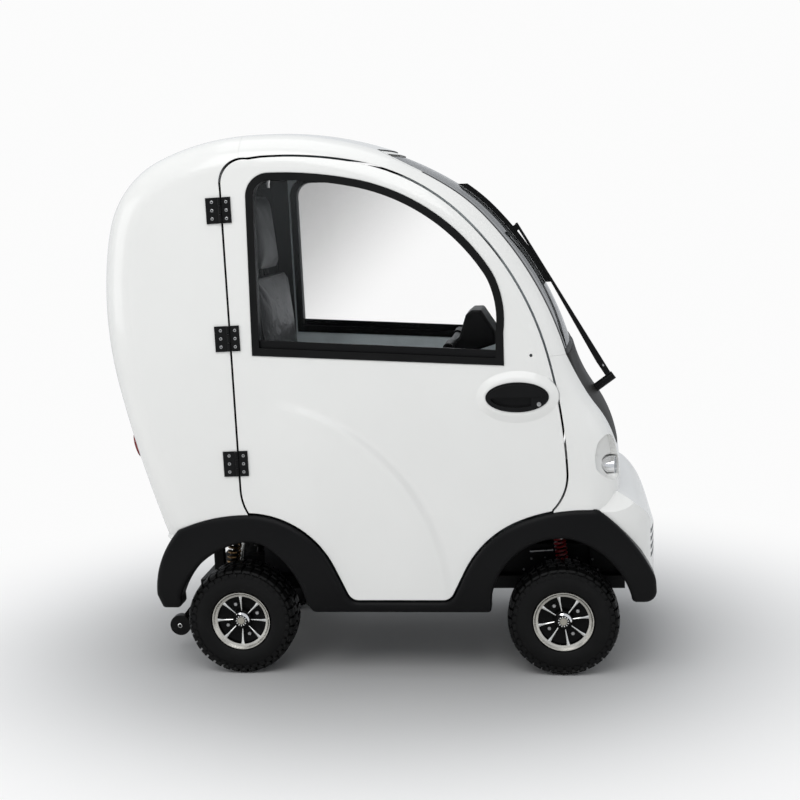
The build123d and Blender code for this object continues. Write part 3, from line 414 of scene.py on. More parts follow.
class Shape:
    """Collects vertices and faces, with a material index for each face."""

    def __init__(self):
        self.points = []
        self.faces = []
        self.tones = []

    def add(self, points, faces, tone=0, matrix=None):
        base = len(self.points)
        for point in points:
            spot = Vector(point)
            self.points.append(matrix @ spot if matrix else spot)
        for face in faces:
            self.faces.append([base + index for index in face])
            self.tones.append(tone)

    def lathe(self, profile, steps=64, tone=0, matrix=None):
        """Ring: a closed profile of (radius, height), turned about local Z."""
        rows = len(profile)
        faces = []
        for step in range(steps):
            after = (step + 1) % steps
            for row in range(rows):
                up = (row + 1) % rows
                faces.append((step * rows + row, after * rows + row, after * rows + up, step * rows + up))
        self.add(turned(profile, steps), faces, tone, matrix)

    def disc(self, profile, steps=48, tone=0, matrix=None):
        """Turned solid whose profile starts and ends on the axis."""
        inner = profile[1:-1]
        points = [(0, 0, profile[0][1])] + turned(inner, steps) + [(0, 0, profile[-1][1])]
        rows = len(inner)
        last = len(points) - 1
        faces = []
        for step in range(steps):
            here, there = 1 + step * rows, 1 + (step + 1) % steps * rows
            faces.append((0, there, here))
            for row in range(rows - 1):
                faces.append((here + row, there + row, there + row + 1, here + row + 1))
            faces.append((here + rows - 1, there + rows - 1, last))
        self.add(points, faces, tone, matrix)

    def sweep(self, points, sides, tone=0, matrix=None):
        """Solid through a row of outlines of as many sides each, with closed ends."""
        last = len(points) - sides
        faces = [tuple(reversed(range(sides))), tuple(range(last, last + sides))]
        for low in range(0, last, sides):
            for step in range(sides):
                after = (step + 1) % sides
                faces.append((low + step, low + after, low + sides + after, low + sides + step))
        self.add(points, faces, tone, matrix)

    def block(self, low, high, taper=0.0, tone=0, matrix=None):
        """Box whose top (+Z) is drawn in by taper on every side."""
        (x0, y0, z0), (x1, y1, z1) = low, high
        t = taper
        points = [(x0, y0, z0), (x1, y0, z0), (x1, y1, z0), (x0, y1, z0)]
        points += [(x0 + t, y0 + t, z1), (x1 - t, y0 + t, z1), (x1 - t, y1 - t, z1), (x0 + t, y1 - t, z1)]
        self.sweep(points, 4, tone, matrix)

    def tube(self, path, radius, sides=10, tone=0):
        """Round bar along a list of points, with closed ends."""
        points = []
        normal = None
        for index, here in enumerate(path):
            along = (path[min(index + 1, len(path) - 1)] - path[max(index - 1, 0)]).normalized()
            if normal is None:
                normal = along.orthogonal().normalized()
            normal = (normal - along * normal.dot(along)).normalized()
            side = along.cross(normal)
            for step in range(sides):
                angle = 2 * math.pi * step / sides
                points.append(here + (normal * math.cos(angle) + side * math.sin(angle)) * radius)
        self.sweep(points, sides, tone)

    def mesh(self, name):
        mesh = bpy.data.meshes.new(name)
        mesh.from_pydata([tuple(p) for p in self.points], [], self.faces)
        for polygon, tone in zip(mesh.polygons, self.tones):
            polygon.material_index = tone
        work = bmesh.new()
        work.from_mesh(mesh)
        bmesh.ops.recalc_face_normals(work, faces=work.faces)
        work.to_mesh(mesh)
        work.free()
        mesh.validate()
        return mesh


def wheel_matrix(name):
    """Local +Z points out of the vehicle at the wheel's centre."""
    at = centre("tyre_" + name)
    turn = Matrix.Rotation(math.radians(-90 * side_sign(name)), 4, "X")
    return Matrix.Translation(at) @ turn


# Tyres: carcass, centre blocks in two staggered rows, shoulder blocks and a row of shallow blocks on the wall
PITCHES = 36
LUG_HEIGHT = 0.0065
LUG_SINK = 0.001
LUG_TAPER = 0.0016
LUG_SKEW = math.radians(12)
# Shares of the tyre's half width, and of the pitch, that the blocks take
LUG_WIDTH = 0.4
LUG_FROM_MIDDLE = 0.24
LUG_LENGTH = 0.76
SHOULDER_LENGTH = 0.74
WALL_LENGTH = 0.70
BEAD = 0.0895
CARCASS = TYRE_RADIUS - LUG_HEIGHT
SHOULDER = [(CARCASS - 0.001, 0.52), (TYRE_RADIUS - 0.0005, 0.55), (TYRE_RADIUS - 0.0015, 0.78)]
SHOULDER += [(TYRE_RADIUS - 0.0055, 0.93), (TYRE_RADIUS - 0.011, 0.975), (CARCASS - 0.012, 0.90)]
WALL = [(TYRE_RADIUS - 0.0150, 0.93), (TYRE_RADIUS - 0.0150, 0.990), (TYRE_RADIUS - 0.0265, 0.9995)]
WALL += [(TYRE_RADIUS - 0.0265, 0.95)]


def tyre_profile():
    half = TYRE_WIDTH / 2
    rows = [(BEAD, -half * 0.78), (BEAD + 0.004, -half * 0.88), (BEAD + 0.014, -half * 0.955)]
    rows += [(BEAD + 0.03, -half * 0.985), (CARCASS - 0.022, -half * 0.97), (CARCASS - 0.010, -half * 0.9)]
    rows += [(CARCASS - 0.002, -half * 0.76), (CARCASS, -half * 0.4), (CARCASS, 0.0)]
    return rows + [(radius, -height) for radius, height in reversed(rows[:-1])]


def tyre_piece(name):
    shape = Shape()
    place = wheel_matrix(name)
    shape.lathe(tyre_profile(), steps=128, matrix=place)
    half = TYRE_WIDTH / 2
    turn = 2 * math.pi / PITCHES
    reach = Vector((half * LUG_WIDTH, turn * TYRE_RADIUS * LUG_LENGTH, 0)) / 2
    for index in range(PITCHES):
        for row in (-1, 1):
            angle = turn * (index + (0.5 if row > 0 else 0.0))
            spin = place @ Matrix.Rotation(angle, 4, "Z") @ Matrix.Translation((CARCASS - LUG_SINK, 0, 0))
            spin = spin @ Matrix.Rotation(math.radians(90), 4, "Y")
            skew = Matrix.Rotation(LUG_SKEW * row, 4, "Z")
            lug = spin @ Matrix.Translation((half * LUG_FROM_MIDDLE * row, 0, 0)) @ skew
            top = (reach.x, reach.y, LUG_HEIGHT + LUG_SINK)
            shape.block(-reach, top, LUG_TAPER, matrix=lug)
            wall_block(shape, place, angle + turn / 2, row * half, SHOULDER, SHOULDER_LENGTH * turn)
            wall_block(shape, place, angle, row * half, WALL, WALL_LENGTH * turn)
    piece = add_piece("tyre_detail_" + name, shape, "wheel_" + name, [TYRE], 28)
    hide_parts("tyre_" + name)


def wall_block(shape, place, angle, half, outline, length):
    """Block drawn as an outline in (radius, share of the half width), with its length as an angle."""
    points = []
    for around in (angle - length / 2, angle + length / 2):
        for radius, height in outline:
            points.append((radius * math.cos(around), radius * math.sin(around), height * half))
    shape.sweep(points, len(outline), 0, place)


# Alloy wheels: bright rim lip, eight narrow spokes over black pockets, centre cap and four nuts
SPOKES = 8
NUTS = 4
NUT_CIRCLE = 0.050
CAP_TEETH = 12
CRESCENT_STEPS = 16
# Tones of a wheel's faces, as places in RIM_FINISHES
BRIGHT, HOLLOW, CAP, PAINTED_HIGHLIGHT, RIB, PLATED = range(6)
RIM_FINISHES = [ALLOY, POCKET, GREY_CAP, CHROME, SPOKE, NUT]


def rim_piece(name, turn_degrees):
    shape = Shape()
    place = wheel_matrix(name) @ Matrix.Rotation(math.radians(turn_degrees), 4, "Z")
    lip = [(0.0892, 0.0540), (0.0885, 0.0555), (0.0860, 0.0552), (0.0815, 0.0500), (0.0770, 0.0485)]
    lip += [(0.0750, 0.0475), (0.0745, 0.0440), (0.0780, 0.0420), (0.0850, 0.0400), (0.0892, 0.0400)]
    shape.lathe(lip, 96, BRIGHT, place)
    barrel = [(0.0890, 0.0400), (0.0760, 0.0300), (0.0750, -0.0250), (0.0880, -0.0400), (0.0892, -0.0545)]
    barrel += [(0.0850, -0.0545), (0.0840, -0.0400), (0.0715, -0.0250), (0.0725, 0.0300), (0.0750, 0.0420)]
    shape.lathe(barrel, 64, HOLLOW, place)
    dish = [(0.0, 0.0250), (0.0250, 0.0260), (0.0500, 0.0270), (0.0735, 0.0330), (0.0735, 0.0280)]
    dish += [(0.0500, 0.0200), (0.0250, 0.0190), (0.0, 0.0180)]
    shape.disc(dish, 64, HOLLOW, place)
    hub = [(0.0, 0.0420), (0.0270, 0.0420), (0.0290, 0.0400), (0.0300, 0.0240), (0.0, 0.0240)]
    shape.disc(hub, 48, HOLLOW, place)
    for index in range(SPOKES):
        spoke(shape, place @ Matrix.Rotation(2 * math.pi * index / SPOKES, 4, "Z"))
    cap(shape, place, wheel_matrix(name))
    for index in range(NUTS):
        turn = Matrix.Rotation(2 * math.pi * index / NUTS + math.pi / SPOKES, 4, "Z")
        nut(shape, place @ turn @ Matrix.Translation((NUT_CIRCLE, 0, 0.026)), 0.0066, 0.009)
    piece = add_piece("rim_detail_" + name, shape, "wheel_" + name, RIM_FINISHES, 30)
    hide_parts("rim_" + name)


def spoke(shape, place):
    """Narrow bright rib with a ridge, wider where it meets the rim, by (radius, half width, height)."""
    points = []
    for radius, half, top in ((0.0262, 0.0012, 0.0415), (0.0450, 0.0019, 0.0440), (0.0620, 0.0027, 0.0465),
                              (0.0765, 0.0052, 0.0480)):
        points += [(radius, -half, top - 0.0012), (radius, 0, top), (radius, half, top - 0.0012)]
        points += [(radius, half * 0.8, top - 0.016), (radius, -half * 0.8, top - 0.016)]
    shape.sweep(points, 5, RIB, place)


def cap(shape, place, upright):
    """Centre cap: silver disc in a black toothed ring, whose black shoulder is a painted dark reflection,
    and on that shoulder a bright crescent, a painted highlight.
    """
    ring = [(0.0, 0.0505), (0.0150, 0.0505), (0.0225, 0.0490), (0.0240, 0.0465), (0.0245, 0.0400)]
    shape.disc(ring + [(0.0, 0.0400)], 48, HOLLOW, place)
    face = [(0.0, 0.0552), (0.0098, 0.0552), (0.0108, 0.0540), (0.0112, 0.0500), (0.0, 0.0500)]
    shape.disc(face, 32, CAP, place)
    for index in range(CAP_TEETH):
        turn = Matrix.Rotation(2 * math.pi * index / CAP_TEETH, 4, "Z")
        tooth = place @ turn @ Matrix.Translation((0.0145, 0, 0.0500))
        shape.block((-0.0030, -0.0020, 0), (0.0022, 0.0020, 0.0034), 0.0004, RIB, tooth)
        shape.block((-0.0030, -0.0031, 0), (0.0016, -0.0021, 0.0040), 0.0002, HOLLOW, tooth)
    # The crescent is built in the wheel's unturned frame, so this painted highlight keeps its place as the
    # wheel turns.
    points = []
    for step in range(CRESCENT_STEPS + 1):
        angle = math.radians(-25 + 10 * step)
        inner = 0.0239 - 0.0068 * math.sin(math.pi * step / CRESCENT_STEPS)
        for radius, height in ((inner, 0.0512), (0.0243, 0.0482), (0.0243, 0.0455), (inner, 0.0455)):
            points.append((radius * math.cos(angle), radius * math.sin(angle), height))
    shape.sweep(points, 4, PAINTED_HIGHLIGHT, upright)


def nut(shape, place, radius, height):
    profile = [(0.0, 0.0), (radius, 0.0), (radius, height * 0.75), (radius * 0.82, height), (0.0, height)]
    shape.disc(profile, 6, PLATED, place)


def bolt_head(shape, at, outward, size, tone, steps=6):
    """Head of (radius, height), standing outward from a point."""
    radius, height = size
    turn = Vector((0, 0, 1)).rotation_difference(Vector(outward)).to_matrix().to_4x4()
    profile = [(0.0, -0.001), (radius, -0.001), (radius, height * 0.7), (radius * 0.75, height)]
    shape.disc(profile + [(0.0, height)], steps, tone, Matrix.Translation(at) @ turn)


# Springs: a wound coil round a damper, between the strut's own ends

# Shares of the strut's length where the coil starts and ends
COIL_SPAN = (0.24, 0.86)
STEPS_A_TURN = 22
# Finish, slot, coil radius, wire radius and turns of each end's springs
SPRINGS = {"rear": (BRONZE, "spring_bronze", 0.021, 0.0036, 9.5),
           "front": (RED, "spring_red", 0.020, 0.0040, 12.0)}


def coil_piece(name, low, high, radius, wire, turns, coil_material, slot):
    shape = Shape()
    axis = high - low
    reach = axis.length
    along = axis.normalized()
    side = along.orthogonal().normalized()
    other = along.cross(side)
    start, end = COIL_SPAN
    path = []
    steps = int(turns * STEPS_A_TURN)
    for step in range(steps + 1):
        share = step / steps
        angle = 2 * math.pi * turns * share
        point = low + along * reach * (start + (end - start) * share)
        path.append(point + (side * math.cos(angle) + other * math.sin(angle)) * (radius - wire))
    shape.tube(path, wire, 8, 0)
    turn = Vector((0, 0, 1)).rotation_difference(along).to_matrix().to_4x4()
    place = Matrix.Translation(low) @ turn
    damper = [(0.0, 0.0), (0.009, 0.0), (0.009, reach * 0.2), (0.013, reach * 0.22), (0.013, reach * 0.6)]
    damper += [(0.006, reach * 0.62), (0.006, reach * 0.9), (0.010, reach * 0.92), (0.010, reach)]
    shape.disc(damper + [(0.0, reach)], 24, 2, place)
    if slot == "spring_bronze":
        beside = low + Vector((0.0255, 0, 0))
        shape.tube([beside + along * reach * share for share in (0.30, 0.92)], 0.0062, 12, 1)
    for share in (start - 0.02, end + 0.005):
        foot, top = reach * share, reach * share + 0.003
        shape.disc([(0.0, foot), (radius, foot), (radius, top), (0.0, top)], 28, 2, place)
    return add_piece(name, shape, "chassis", [coil_material, DAMPER, STEEL])


def spring_set():
    for end, (material, slot, radius, wire, turns) in SPRINGS.items():
        node = end + "_struts"
        low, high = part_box(node)
        pieces = []
        for side in SIDES:
            y = side_sign(side) * (high[1] - radius)
            if end == "rear":
                bottom = Vector((low[0] + 0.013, y, low[2]))
                top = Vector((high[0] - 0.016, y, high[2] - 0.001))
            else:
                bottom = Vector((high[0] - 0.012, y, low[2]))
                top = Vector((low[0] + 0.014, y, high[2] - 0.001))
            name = end + "_spring_" + side
            pieces.append(coil_piece(name, bottom, top, radius, wire, turns, material, slot))
        for piece in pieces:
            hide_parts(node)


# Seat: padded forms blown up from slightly smaller blocks between pinned seams, with piping on the front seam
LEAN = math.radians(6.0)
VOXEL = 0.006
ROUNDING = 0.022
CLOTH_STEPS = 20
SEAM_INSET = 0.006
PIPING_RADIUS = 0.0032
PIPING_CORNER = 0.03
# The rest stands on BACK_FOOT; heights and post ends are measured up along it
BACK_FOOT = REAR_AXLE + 0.118
BACK_SIZE = (0.450, 0.680, 0.080)
BACK_HEIGHT = 0.340
HEAD_SIZE = (0.270, 0.230, 0.074)
HEAD_HEIGHT = 0.815
POST_ENDS = (0.655, 0.725)
POST_FROM_MIDDLE = 0.04


def pad_piece(name, node, place, size, cap, material):
    """Pad in a local frame: x and y across its face, z through it. No point moves more than cap."""
    half = Vector(size) / 2 - Vector((0.003, 0.003, cap * 0.55))
    mesh = bpy.data.meshes.new(name)
    work = bmesh.new()
    bmesh.ops.create_cube(work, size=1.0)
    bmesh.ops.scale(work, vec=half * 2, verts=work.verts)
    bmesh.ops.bevel(work, geom=list(work.edges), offset=ROUNDING, segments=4, affect="EDGES", profile=0.5)
    work.to_mesh(mesh)
    work.free()
    piece = bpy.data.objects.new(name, mesh)
    bpy.context.scene.collection.objects.link(piece)
    remesh = piece.modifiers.new("remesh", "REMESH")
    remesh.mode = "VOXEL"
    remesh.voxel_size = VOXEL
    settle(piece)
    blow_up(piece, half, cap)
    piece.data.transform(place)
    piece.data.materials.append(material)
    piece.data.shade_smooth()
    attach(piece, "chassis")
    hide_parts(node)


def settle(piece):
    """Bakes the modified form into the piece's own mesh and drops the modifiers."""
    graph = bpy.context.evaluated_depsgraph_get()
    graph.update()
    baked = bpy.data.meshes.new_from_object(piece.evaluated_get(graph), depsgraph=graph)
    baked.name = piece.name
    piece.modifiers.clear()
    piece.data = baked


def blow_up(piece, half, cap):
    """Cloth under pressure between pinned seams, with no point moved more than cap."""
    rest = [vertex.co.copy() for vertex in piece.data.vertices]
    pins = piece.vertex_groups.new(name="pins")
    for vertex in piece.data.vertices:
        reach_x, reach_y = abs(vertex.co.x) / half.x, abs(vertex.co.y) / half.y
        at_seam = half.z - ROUNDING < abs(vertex.co.z) < half.z - 0.010
        edge_x, edge_y = half.x - abs(vertex.co.x), half.y - abs(vertex.co.y)
        if at_seam and min(edge_x, edge_y) < 0.012 and max(reach_x, reach_y) > 0.9:
            pins.add([vertex.index], 1.0, "REPLACE")
    cloth = piece.modifiers.new("cloth", "CLOTH")
    cloth.settings.quality = 4
    cloth.settings.mass = 0.3
    cloth.settings.tension_stiffness = 12
    cloth.settings.compression_stiffness = 12
    cloth.settings.bending_stiffness = 1.0
    cloth.settings.use_pressure = True
    cloth.settings.uniform_pressure_force = 4.0
    cloth.settings.vertex_group_mass = "pins"
    cloth.settings.effector_weights.gravity = 0.0
    cloth.point_cache.frame_start, cloth.point_cache.frame_end = 1, CLOTH_STEPS
    for step in range(1, CLOTH_STEPS + 1):
        bpy.context.scene.frame_set(step)
    settle(piece)
    bpy.context.scene.frame_set(1)
    for vertex, before in zip(piece.data.vertices, rest):
        move = vertex.co - before
        if move.length > cap:
            vertex.co = before + move * (cap / move.length)
    finer = piece.modifiers.new("finer", "SUBSURF")
    finer.levels = 1
    settle(piece)


def piping(name, place, size, height):
    """Round cord along the front seam of a pad, height above the pad's middle."""
    shape = Shape()
    path = []
    reach_x, reach_y = (length / 2 - SEAM_INSET - PIPING_CORNER for length in size[:2])
    for side_x, side_y, start in ((1, 1, 0), (-1, 1, 90), (-1, -1, 180), (1, -1, 270)):
        for step in range(7):
            angle = math.radians(start + 15 * step)
            x = side_x * reach_x + PIPING_CORNER * math.cos(angle)
            y = side_y * reach_y + PIPING_CORNER * math.sin(angle)
            path.append(place @ Vector((x, y, height)))
    path.append(path[0] + (path[1] - path[0]) * 0.2)
    shape.tube(path, PIPING_RADIUS, 8)
    add_piece(name, shape, "chassis", [VINYL], 60)


def seat():
    low, high = (Vector(corner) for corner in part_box("seat_cushion"))
    size = high - low
    flat = Matrix.Translation((low + high) / 2)
    pad_piece("seat_cushion_pad", "seat_cushion", flat, size, 0.014, VINYL)
    piping("seat_cushion_piping", flat, size, size.z / 2 - ROUNDING)
    low = Vector(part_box("seat_back")[0])
    foot = Vector((BACK_FOOT, 0, low.z))
    rows = ((0, math.cos(LEAN), -math.sin(LEAN)), (1, 0, 0), (0, math.sin(LEAN), math.cos(LEAN)))
    # local x across the seat, y forward out of the rest, z up the rest
    stand = Matrix.Translation(foot) @ Matrix(rows).to_4x4()
    face = Matrix(((1, 0, 0), (0, 0, 1), (0, 1, 0))).to_4x4()
    back = stand @ Matrix.Translation((0, 0, BACK_HEIGHT)) @ face
    head = stand @ Matrix.Translation((0, 0, HEAD_HEIGHT)) @ face
    pad_piece("seat_back_pad", "seat_back", back, BACK_SIZE, 0.016, WRAPPED)
    pad_piece("headrest_pad", "seat_back", head, HEAD_SIZE, 0.014, WRAPPED)
    piping("seat_back_piping", back, BACK_SIZE, 0.020)
    piping("headrest_piping", head, HEAD_SIZE, 0.017)
    shape = Shape()
    for x in (-POST_FROM_MIDDLE, POST_FROM_MIDDLE):
        shape.tube([stand @ Vector((x, 0, height)) for height in POST_ENDS], 0.006, 12)
    piece = add_piece("headrest_posts", shape, "chassis", [STEEL])
    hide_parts("seat_back")


# Window rails: a second strip over the lower edge of each door window
RAIL_DEPTH = 0.021
RAIL_INSETS = (0.0105, 0.0205)


def lower_rail(side):
    sign = side_sign(side)
    hull = convex([(round(v.co.x, 5), round(v.co.z, 5)) for v in NODES["door_glass_" + side].data.vertices])
    edges = [(a, b) for a, b in zip(hull, hull[1:] + hull[:1]) if b[0] > a[0]]
    (ax, az), (bx, bz) = max(edges, key=lambda edge: math.dist(*edge))
    span = math.dist((ax, az), (bx, bz))
    up = ((az - bz) / span, (bx - ax) / span)
    band = clip(hull, lambda p: RAIL_DEPTH - ((p[0] - ax) * up[0] + (p[1] - az) * up[1]))
    points = [(x, sign * side_face(z, inset), z) for inset in RAIL_INSETS for x, z in band]
    shape = Shape()
    shape.sweep(points, len(band))
    add_piece("window_rail_" + side, shape, "door_" + side, [BLACK], 30)


def convex(points):
    """Convex outline, counter-clockwise."""
    points = sorted(set(points))
    outline = []
    for row in (points, points[::-1]):
        part = []
        for point in row:
            while len(part) > 1 and turn_of(part[-2], part[-1], point) <= 0:
                part.pop()
            part.append(point)
        outline += part[:-1]
    return outline


def turn_of(a, b, c):
    return (b[0] - a[0]) * (c[1] - a[1]) - (b[1] - a[1]) * (c[0] - a[0])


def clip(outline, keep):
    """The part of an outline where keep is not negative."""
    result = []
    for index, here in enumerate(outline):
        after = outline[(index + 1) % len(outline)]
        a, b = keep(here), keep(after)
        if a >= 0:
            result.append(here)
        if (a >= 0) != (b >= 0):
            share = a / (a - b)
            result.append((here[0] + (after[0] - here[0]) * share, here[1] + (after[1] - here[1]) * share))
    return result


# Hinge screws: three on each leaf, set in from the leaf's free edge
HINGE_HEIGHTS = (0.655, 1.025, 1.397)
HALF_HINGE = 0.045
SCREW_STEPS = (-0.024, 0.0, 0.024)
DOOR_LEAF_INSET = -0.014
BODY_LEAF_INSET = 0.019
# How far the leaf's face and the socket's stand off the body's side
LEAF_FACE = 0.0043
SOCKET_FACE = 0.0053
SCREW = (0.0046, 0.0014)
SOCKET = (0.0024, 0.0008)


def hinge_screws():
    for side in SIDES:
        leaf_screws(side, "door_hinges_" + side, "door_" + side, DOOR_LEAF_INSET)
        leaf_screws(side, "body_hinges", "chassis", BODY_LEAF_INSET)


def leaf_screws(side, node, body, inset):
    sign = side_sign(side)
    out = (0, sign, 0.05)
    shape = Shape()
    corners = [v.co for v in NODES[node].data.vertices if v.co.y * sign > 0]
    for height in HINGE_HEIGHTS:
        near = [p.x for p in corners if abs(p.z - height) < HALF_HINGE]
        x = (max(near) if inset < 0 else min(near)) + inset
        for step in SCREW_STEPS:
            z = height + step
            bolt_head(shape, Vector((x, sign * side_face(z, -LEAF_FACE), z)), out, SCREW, 0, 16)
            # Each screw's socket is a black disc on its head: painted shade of the recess.
            bolt_head(shape, Vector((x, sign * side_face(z, -SOCKET_FACE), z)), out, SOCKET, 1)
    name = "hinge_screws_" + side + "_" + body.split("_")[0]
    add_piece(name, shape, body, [NUT, BLACK])


# Door seals: a dark strip inside the hinge gap of each door, whose middle line leans back
SEAL_ENDS = (0.56, 1.465)
SEAL_INSETS = (0.046, 0.049)
SEAL_REACH = (-0.024, 0.016)
GAP_MIDDLE = REAR_AXLE + 0.015
GAP_FOOT = 0.697
GAP_LEAN = 0.0102


def door_seal(side):
    points = []
    for z in SEAL_ENDS:
        back, front = (GAP_MIDDLE - (z - GAP_FOOT) * GAP_LEAN + reach for reach in SEAL_REACH)
        outer, inner = (side_sign(side) * side_face(z, inset) for inset in SEAL_INSETS)
        points += [(back, outer, z), (front, outer, z), (front, inner, z), (back, inner, z)]
    shape = Shape()
    shape.sweep(points, 4)
    add_piece("door_seal_" + side, shape, "chassis", [RUBBER], 30)


# Small fittings: lock face, wiper arm, arch guards with their bolts, bolts of the anti-tip wheels
LOCK_PLACE = (REAR_AXLE + 0.912, 0.3762, 0.817)
LOCK = (0.0062, 0.0012)
ANTI_TIP_BOLT = (0.0075, 0.0048)
RIVET = (0.0036, 0.0010)
ARM_HALF_WIDTH = 0.007
COVER_HALF_WIDTH = 0.0092
GUARD_FROM_MIDDLE = 0.1015
GUARD_HALF = 0.0010
# The guards' corners in side view, and the stay beside them: how far from the middle plane, and its ends
GUARD_CORNERS = ((0.300, 0.205), (0.715, 0.330))
STAY_FROM_MIDDLE = 0.118
STAY_ENDS = ((0.440, 0.312), (0.512, 0.316))
# Bolts of the arch guards: x, distance from the middle plane, z
GUARD_BOLTS = ((0.444, 0.1025, 0.285), (0.488, 0.1025, 0.289), (0.587, 0.1025, 0.288), (0.420, 0.1025, 0.250),
               (0.632, 0.1350, 0.292), (0.647, 0.1350, 0.258))
GUARD_BOLT = (0.0044, 0.0040)
STRUT_BOLT_PLACE = (0.538, 0.1775, 0.372)
STRUT_BOLT = (0.0060, 0.0050)


def fittings():
    for side in SIDES:
        lock_face(side)
        arch_guard(side)
        anti_tip_bolt(side)
    wiper_cover()


def lock_face(side):
    sign = side_sign(side)
    x, y, z = LOCK_PLACE
    shape = Shape()
    bolt_head(shape, Vector((x, sign * y, z)), (0, sign, 0.05), LOCK, 0, 24)
    # The key slit is a black strip on the lock face: painted shade of the slot.
    slit = Matrix.Translation((x, sign * (y + LOCK[1]), z)) @ Matrix.Rotation(math.radians(-90 * sign), 4, "X")
    shape.block((-0.0004, -0.0028, 0.0), (0.0004, 0.0028, 0.0003), 0.0, 1, slit)
    add_piece("lock_face_" + side, shape, "door_" + side, [NUT, BLACK])


def anti_tip_bolt(side):
    sign = side_sign(side)
    low, high = (Vector(corner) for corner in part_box("anti_tip_wheel_" + side))
    face = (low + high) / 2
    face.y = high.y if sign > 0 else low.y
    shape = Shape()
    bolt_head(shape, face, (0, sign, 0), ANTI_TIP_BOLT, 0, 24)
    add_piece("anti_tip_bolt_" + side, shape, "anti_tip_" + side, [SPOKE])


def wiper_cover():
    """Channel of the wiper arm, deeper towards its pivot, with the pivot's rivet."""
    corners = {(round(v.co.x, 4), round(v.co.z, 4)) for v in NODES["wiper"].data.vertices
               if abs(abs(v.co.y) - ARM_HALF_WIDTH) < 0.00005}
    ends = sorted((Vector(corner) for corner in corners), key=lambda corner: corner.y)
    low_back, low_front = sorted(ends[:2], key=lambda corner: corner.x)
    high_back, high_front = sorted(ends[-2:], key=lambda corner: corner.x)
    back = (low_back - low_front).normalized()
    outline = [high_back.lerp(low_back, 0.35), high_front.lerp(low_front, 0.35), low_front]
    outline += [low_back + back * 0.010, low_back.lerp(high_back, 0.10) + back * 0.012]
    shape = Shape()
    shape.sweep([(x, y, z) for y in (-COVER_HALF_WIDTH, COVER_HALF_WIDTH) for x, z in outline], len(outline))
    rivet = low_back.lerp(high_back, 0.06)
    for sign in (-1, 1):
        at = Vector((rivet.x, sign * COVER_HALF_WIDTH, rivet.y))
        bolt_head(shape, at, (0, sign, 0), RIVET, 1, 16)
    add_piece("wiper_arm_cover", shape, "chassis", [BLACK, NUT], 30)


def arch_guard(side):
    sign = side_sign(side)
    shape = Shape()
    middle = sign * GUARD_FROM_MIDDLE
    (back, foot), (front, top) = GUARD_CORNERS
    shape.block((back, middle - GUARD_HALF, foot), (front, middle + GUARD_HALF, top))
    for x, y, z in GUARD_BOLTS:
        bolt_head(shape, Vector((x, sign * y, z)), (0, sign, 0), GUARD_BOLT, 1)
    x, y, z = STRUT_BOLT_PLACE
    bolt_head(shape, Vector((x, sign * y, z)), (0, sign, 0), STRUT_BOLT, 2)
    shape.tube([Vector((x, sign * STAY_FROM_MIDDLE, z)) for x, z in STAY_ENDS], 0.0052, 12, 1)
    add_piece("arch_guard_" + side, shape, "chassis", [STEEL, NUT, DAMPER])


# Camera: placed from the rear axle, as the photograph was taken, and turned by yaw, pitch and roll in degrees
CAMERA_PLACE = (REAR_AXLE + 0.9667, -3.9504, 1.3979)
CAMERA_TURN = (7.222, 8.848, -2.2025)
CAMERA_LENS = 56.87
# Backdrop: brightness, how far the floor runs, and the ellipse in which it fades and its painted shadow
# spreads
SEEN_WHITE = (0.97, 0.97, 0.97, 1)
FLOOR_REACH = 14.0
FADE_AND_SHADOW_LENGTH = 1.75
FADE_AND_SHADOW_WIDTH = 1.5


def camera():
    yaw, pitch, roll = (math.radians(angle) for angle in CAMERA_TURN)
    forward = Vector((-math.sin(yaw) * math.cos(pitch), math.cos(yaw) * math.cos(pitch), -math.sin(pitch)))
    right = Vector((math.cos(yaw), math.sin(yaw), 0))
    up = right.cross(forward)
    rolled_right = right * math.cos(roll) + up * math.sin(roll)
    rolled_up = up * math.cos(roll) - right * math.sin(roll)
    data = bpy.data.cameras.new("camera")
    data.sensor_width = 36.0
    data.lens = CAMERA_LENS
    view = bpy.data.objects.new("camera", data)
    turn = Matrix((rolled_right, rolled_up, -forward)).transposed().to_4x4()
    view.matrix_world = Matrix.Translation(CAMERA_PLACE) @ turn
    bpy.context.scene.collection.objects.link(view)
    bpy.context.scene.camera = view


def lamp(name, at, aim, size, power):
    data = bpy.data.lights.new(name, "AREA")
    data.energy = power
    data.shape = "RECTANGLE"
    data.size, data.size_y = size
    light = bpy.data.objects.new(name, data)
    at, aim = Vector(at), Vector(aim)
    light.matrix_world = Matrix.Translation(at) @ (aim - at).to_track_quat("-Z", "Y").to_matrix().to_4x4()
    bpy.context.scene.collection.objects.link(light)


def seen_by_camera(tree):
    """1 for what the camera sees, also through glass."""
    path = add_node(tree, "LightPath").outputs
    return number(tree, "MAXIMUM", path["Is Camera Ray"], path["Is Transmission Ray"])


def mix_shaders(tree, share, first, second):
    return add_node(tree, "MixShader", {"Fac": share, 1: first, 2: second}).outputs["Shader"]


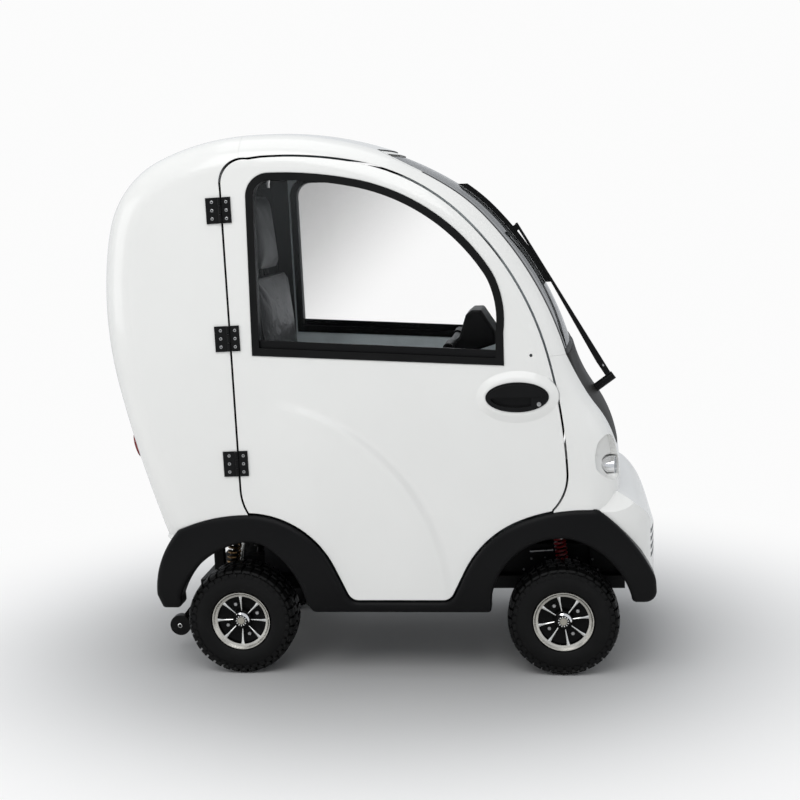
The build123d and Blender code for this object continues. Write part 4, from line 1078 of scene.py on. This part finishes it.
def floor_paper():
    """Pale floor with a painted shadow near the scooter, that fades into the white backdrop away from it,
    seen so by the camera only.
    """
    material = finish("floor_paper", (0.93, 0.925, 0.915), 0.75, tint=0.03, tint_scale=0.7,
                      bumps=[(900.0, 0.00002, "noise")])
    tree = material.node_tree
    shader = tree.nodes["Principled BSDF"]
    place = add_node(tree, "TexCoord").outputs
    shrunk = vector(tree, "MULTIPLY", place["Object"], (1 / FADE_AND_SHADOW_LENGTH, 1 / FADE_AND_SHADOW_WIDTH, 0))["Vector"]
    reach = vector(tree, "LENGTH", shrunk)["Value"]
    # The floor's colour darkens towards the scooter: a painted shadow under and around it.
    painted_shadow = ranged(tree, reach, 0.2, 1.2, 0.48, 1.0, "SMOOTHSTEP")
    shadowed_floor = vector(tree, "MULTIPLY", source(shader, "Base Color"), painted_shadow)["Vector"]
    feed(tree, shader, {"Base Color": shadowed_floor})
    fade = ranged(tree, reach, 0.45, 1.25, shape="SMOOTHSTEP")
    paper = add_node(tree, "Emission", {"Color": SEEN_WHITE}).outputs["Emission"]
    share = number(tree, "MULTIPLY", seen_by_camera(tree), fade)
    surface = mix_shaders(tree, share, shader.outputs["BSDF"], paper)
    feed(tree, tree.nodes["Material Output"], {"Surface": surface})
    return material


def studio():
    world = bpy.data.worlds.new("studio")
    bpy.context.scene.world = world
    world.use_nodes = True
    tree = world.node_tree
    tree.nodes.clear()
    soft = add_node(tree, "Background", {"Color": (0.93, 0.96, 1.0, 1), "Strength": 0.70})
    seen = add_node(tree, "Background", {"Color": SEEN_WHITE, "Strength": 1.0})
    surface = mix_shaders(tree, seen_by_camera(tree), soft.outputs["Background"], seen.outputs["Background"])
    add_node(tree, "OutputWorld", {"Surface": surface})
    lamp("key", (-0.3, -3.2, 4.2), (0, 0, 0.7), (3.5, 2.5), 72)
    lamp("overhead", (-0.4, 0.0, 4.6), (-0.2, 0, 0.8), (2.5, 2.5), 20)
    lamp("front_fill", (4.0, -1.0, 1.8), (0.4, 0, 0.8), (2.5, 2.5), 7)
    lamp("rear_fill", (-4.0, -1.8, 2.0), (-0.5, 0, 0.8), (2.5, 2.5), 26)
    mesh = bpy.data.meshes.new("floor")
    corners = [(-1, -1), (1, -1), (1, 1), (-1, 1)]
    mesh.from_pydata([(x * FLOOR_REACH, y * FLOOR_REACH, 0) for x, y in corners], [], [(0, 1, 2, 3)])
    floor = bpy.data.objects.new("floor", mesh)
    bpy.context.scene.collection.objects.link(floor)
    mesh.materials.append(floor_paper())
    bpy.context.scene.view_settings.view_transform = "Standard"


camera()
studio()
dress_nodes()
for wheel_name, wheel_turn in WHEEL_TURNS.items():
    tyre_piece(wheel_name)
    rim_piece(wheel_name, wheel_turn)
spring_set()
seat()
for side_name in SIDES:
    lower_rail(side_name)
    door_seal(side_name)
hinge_screws()
fittings()
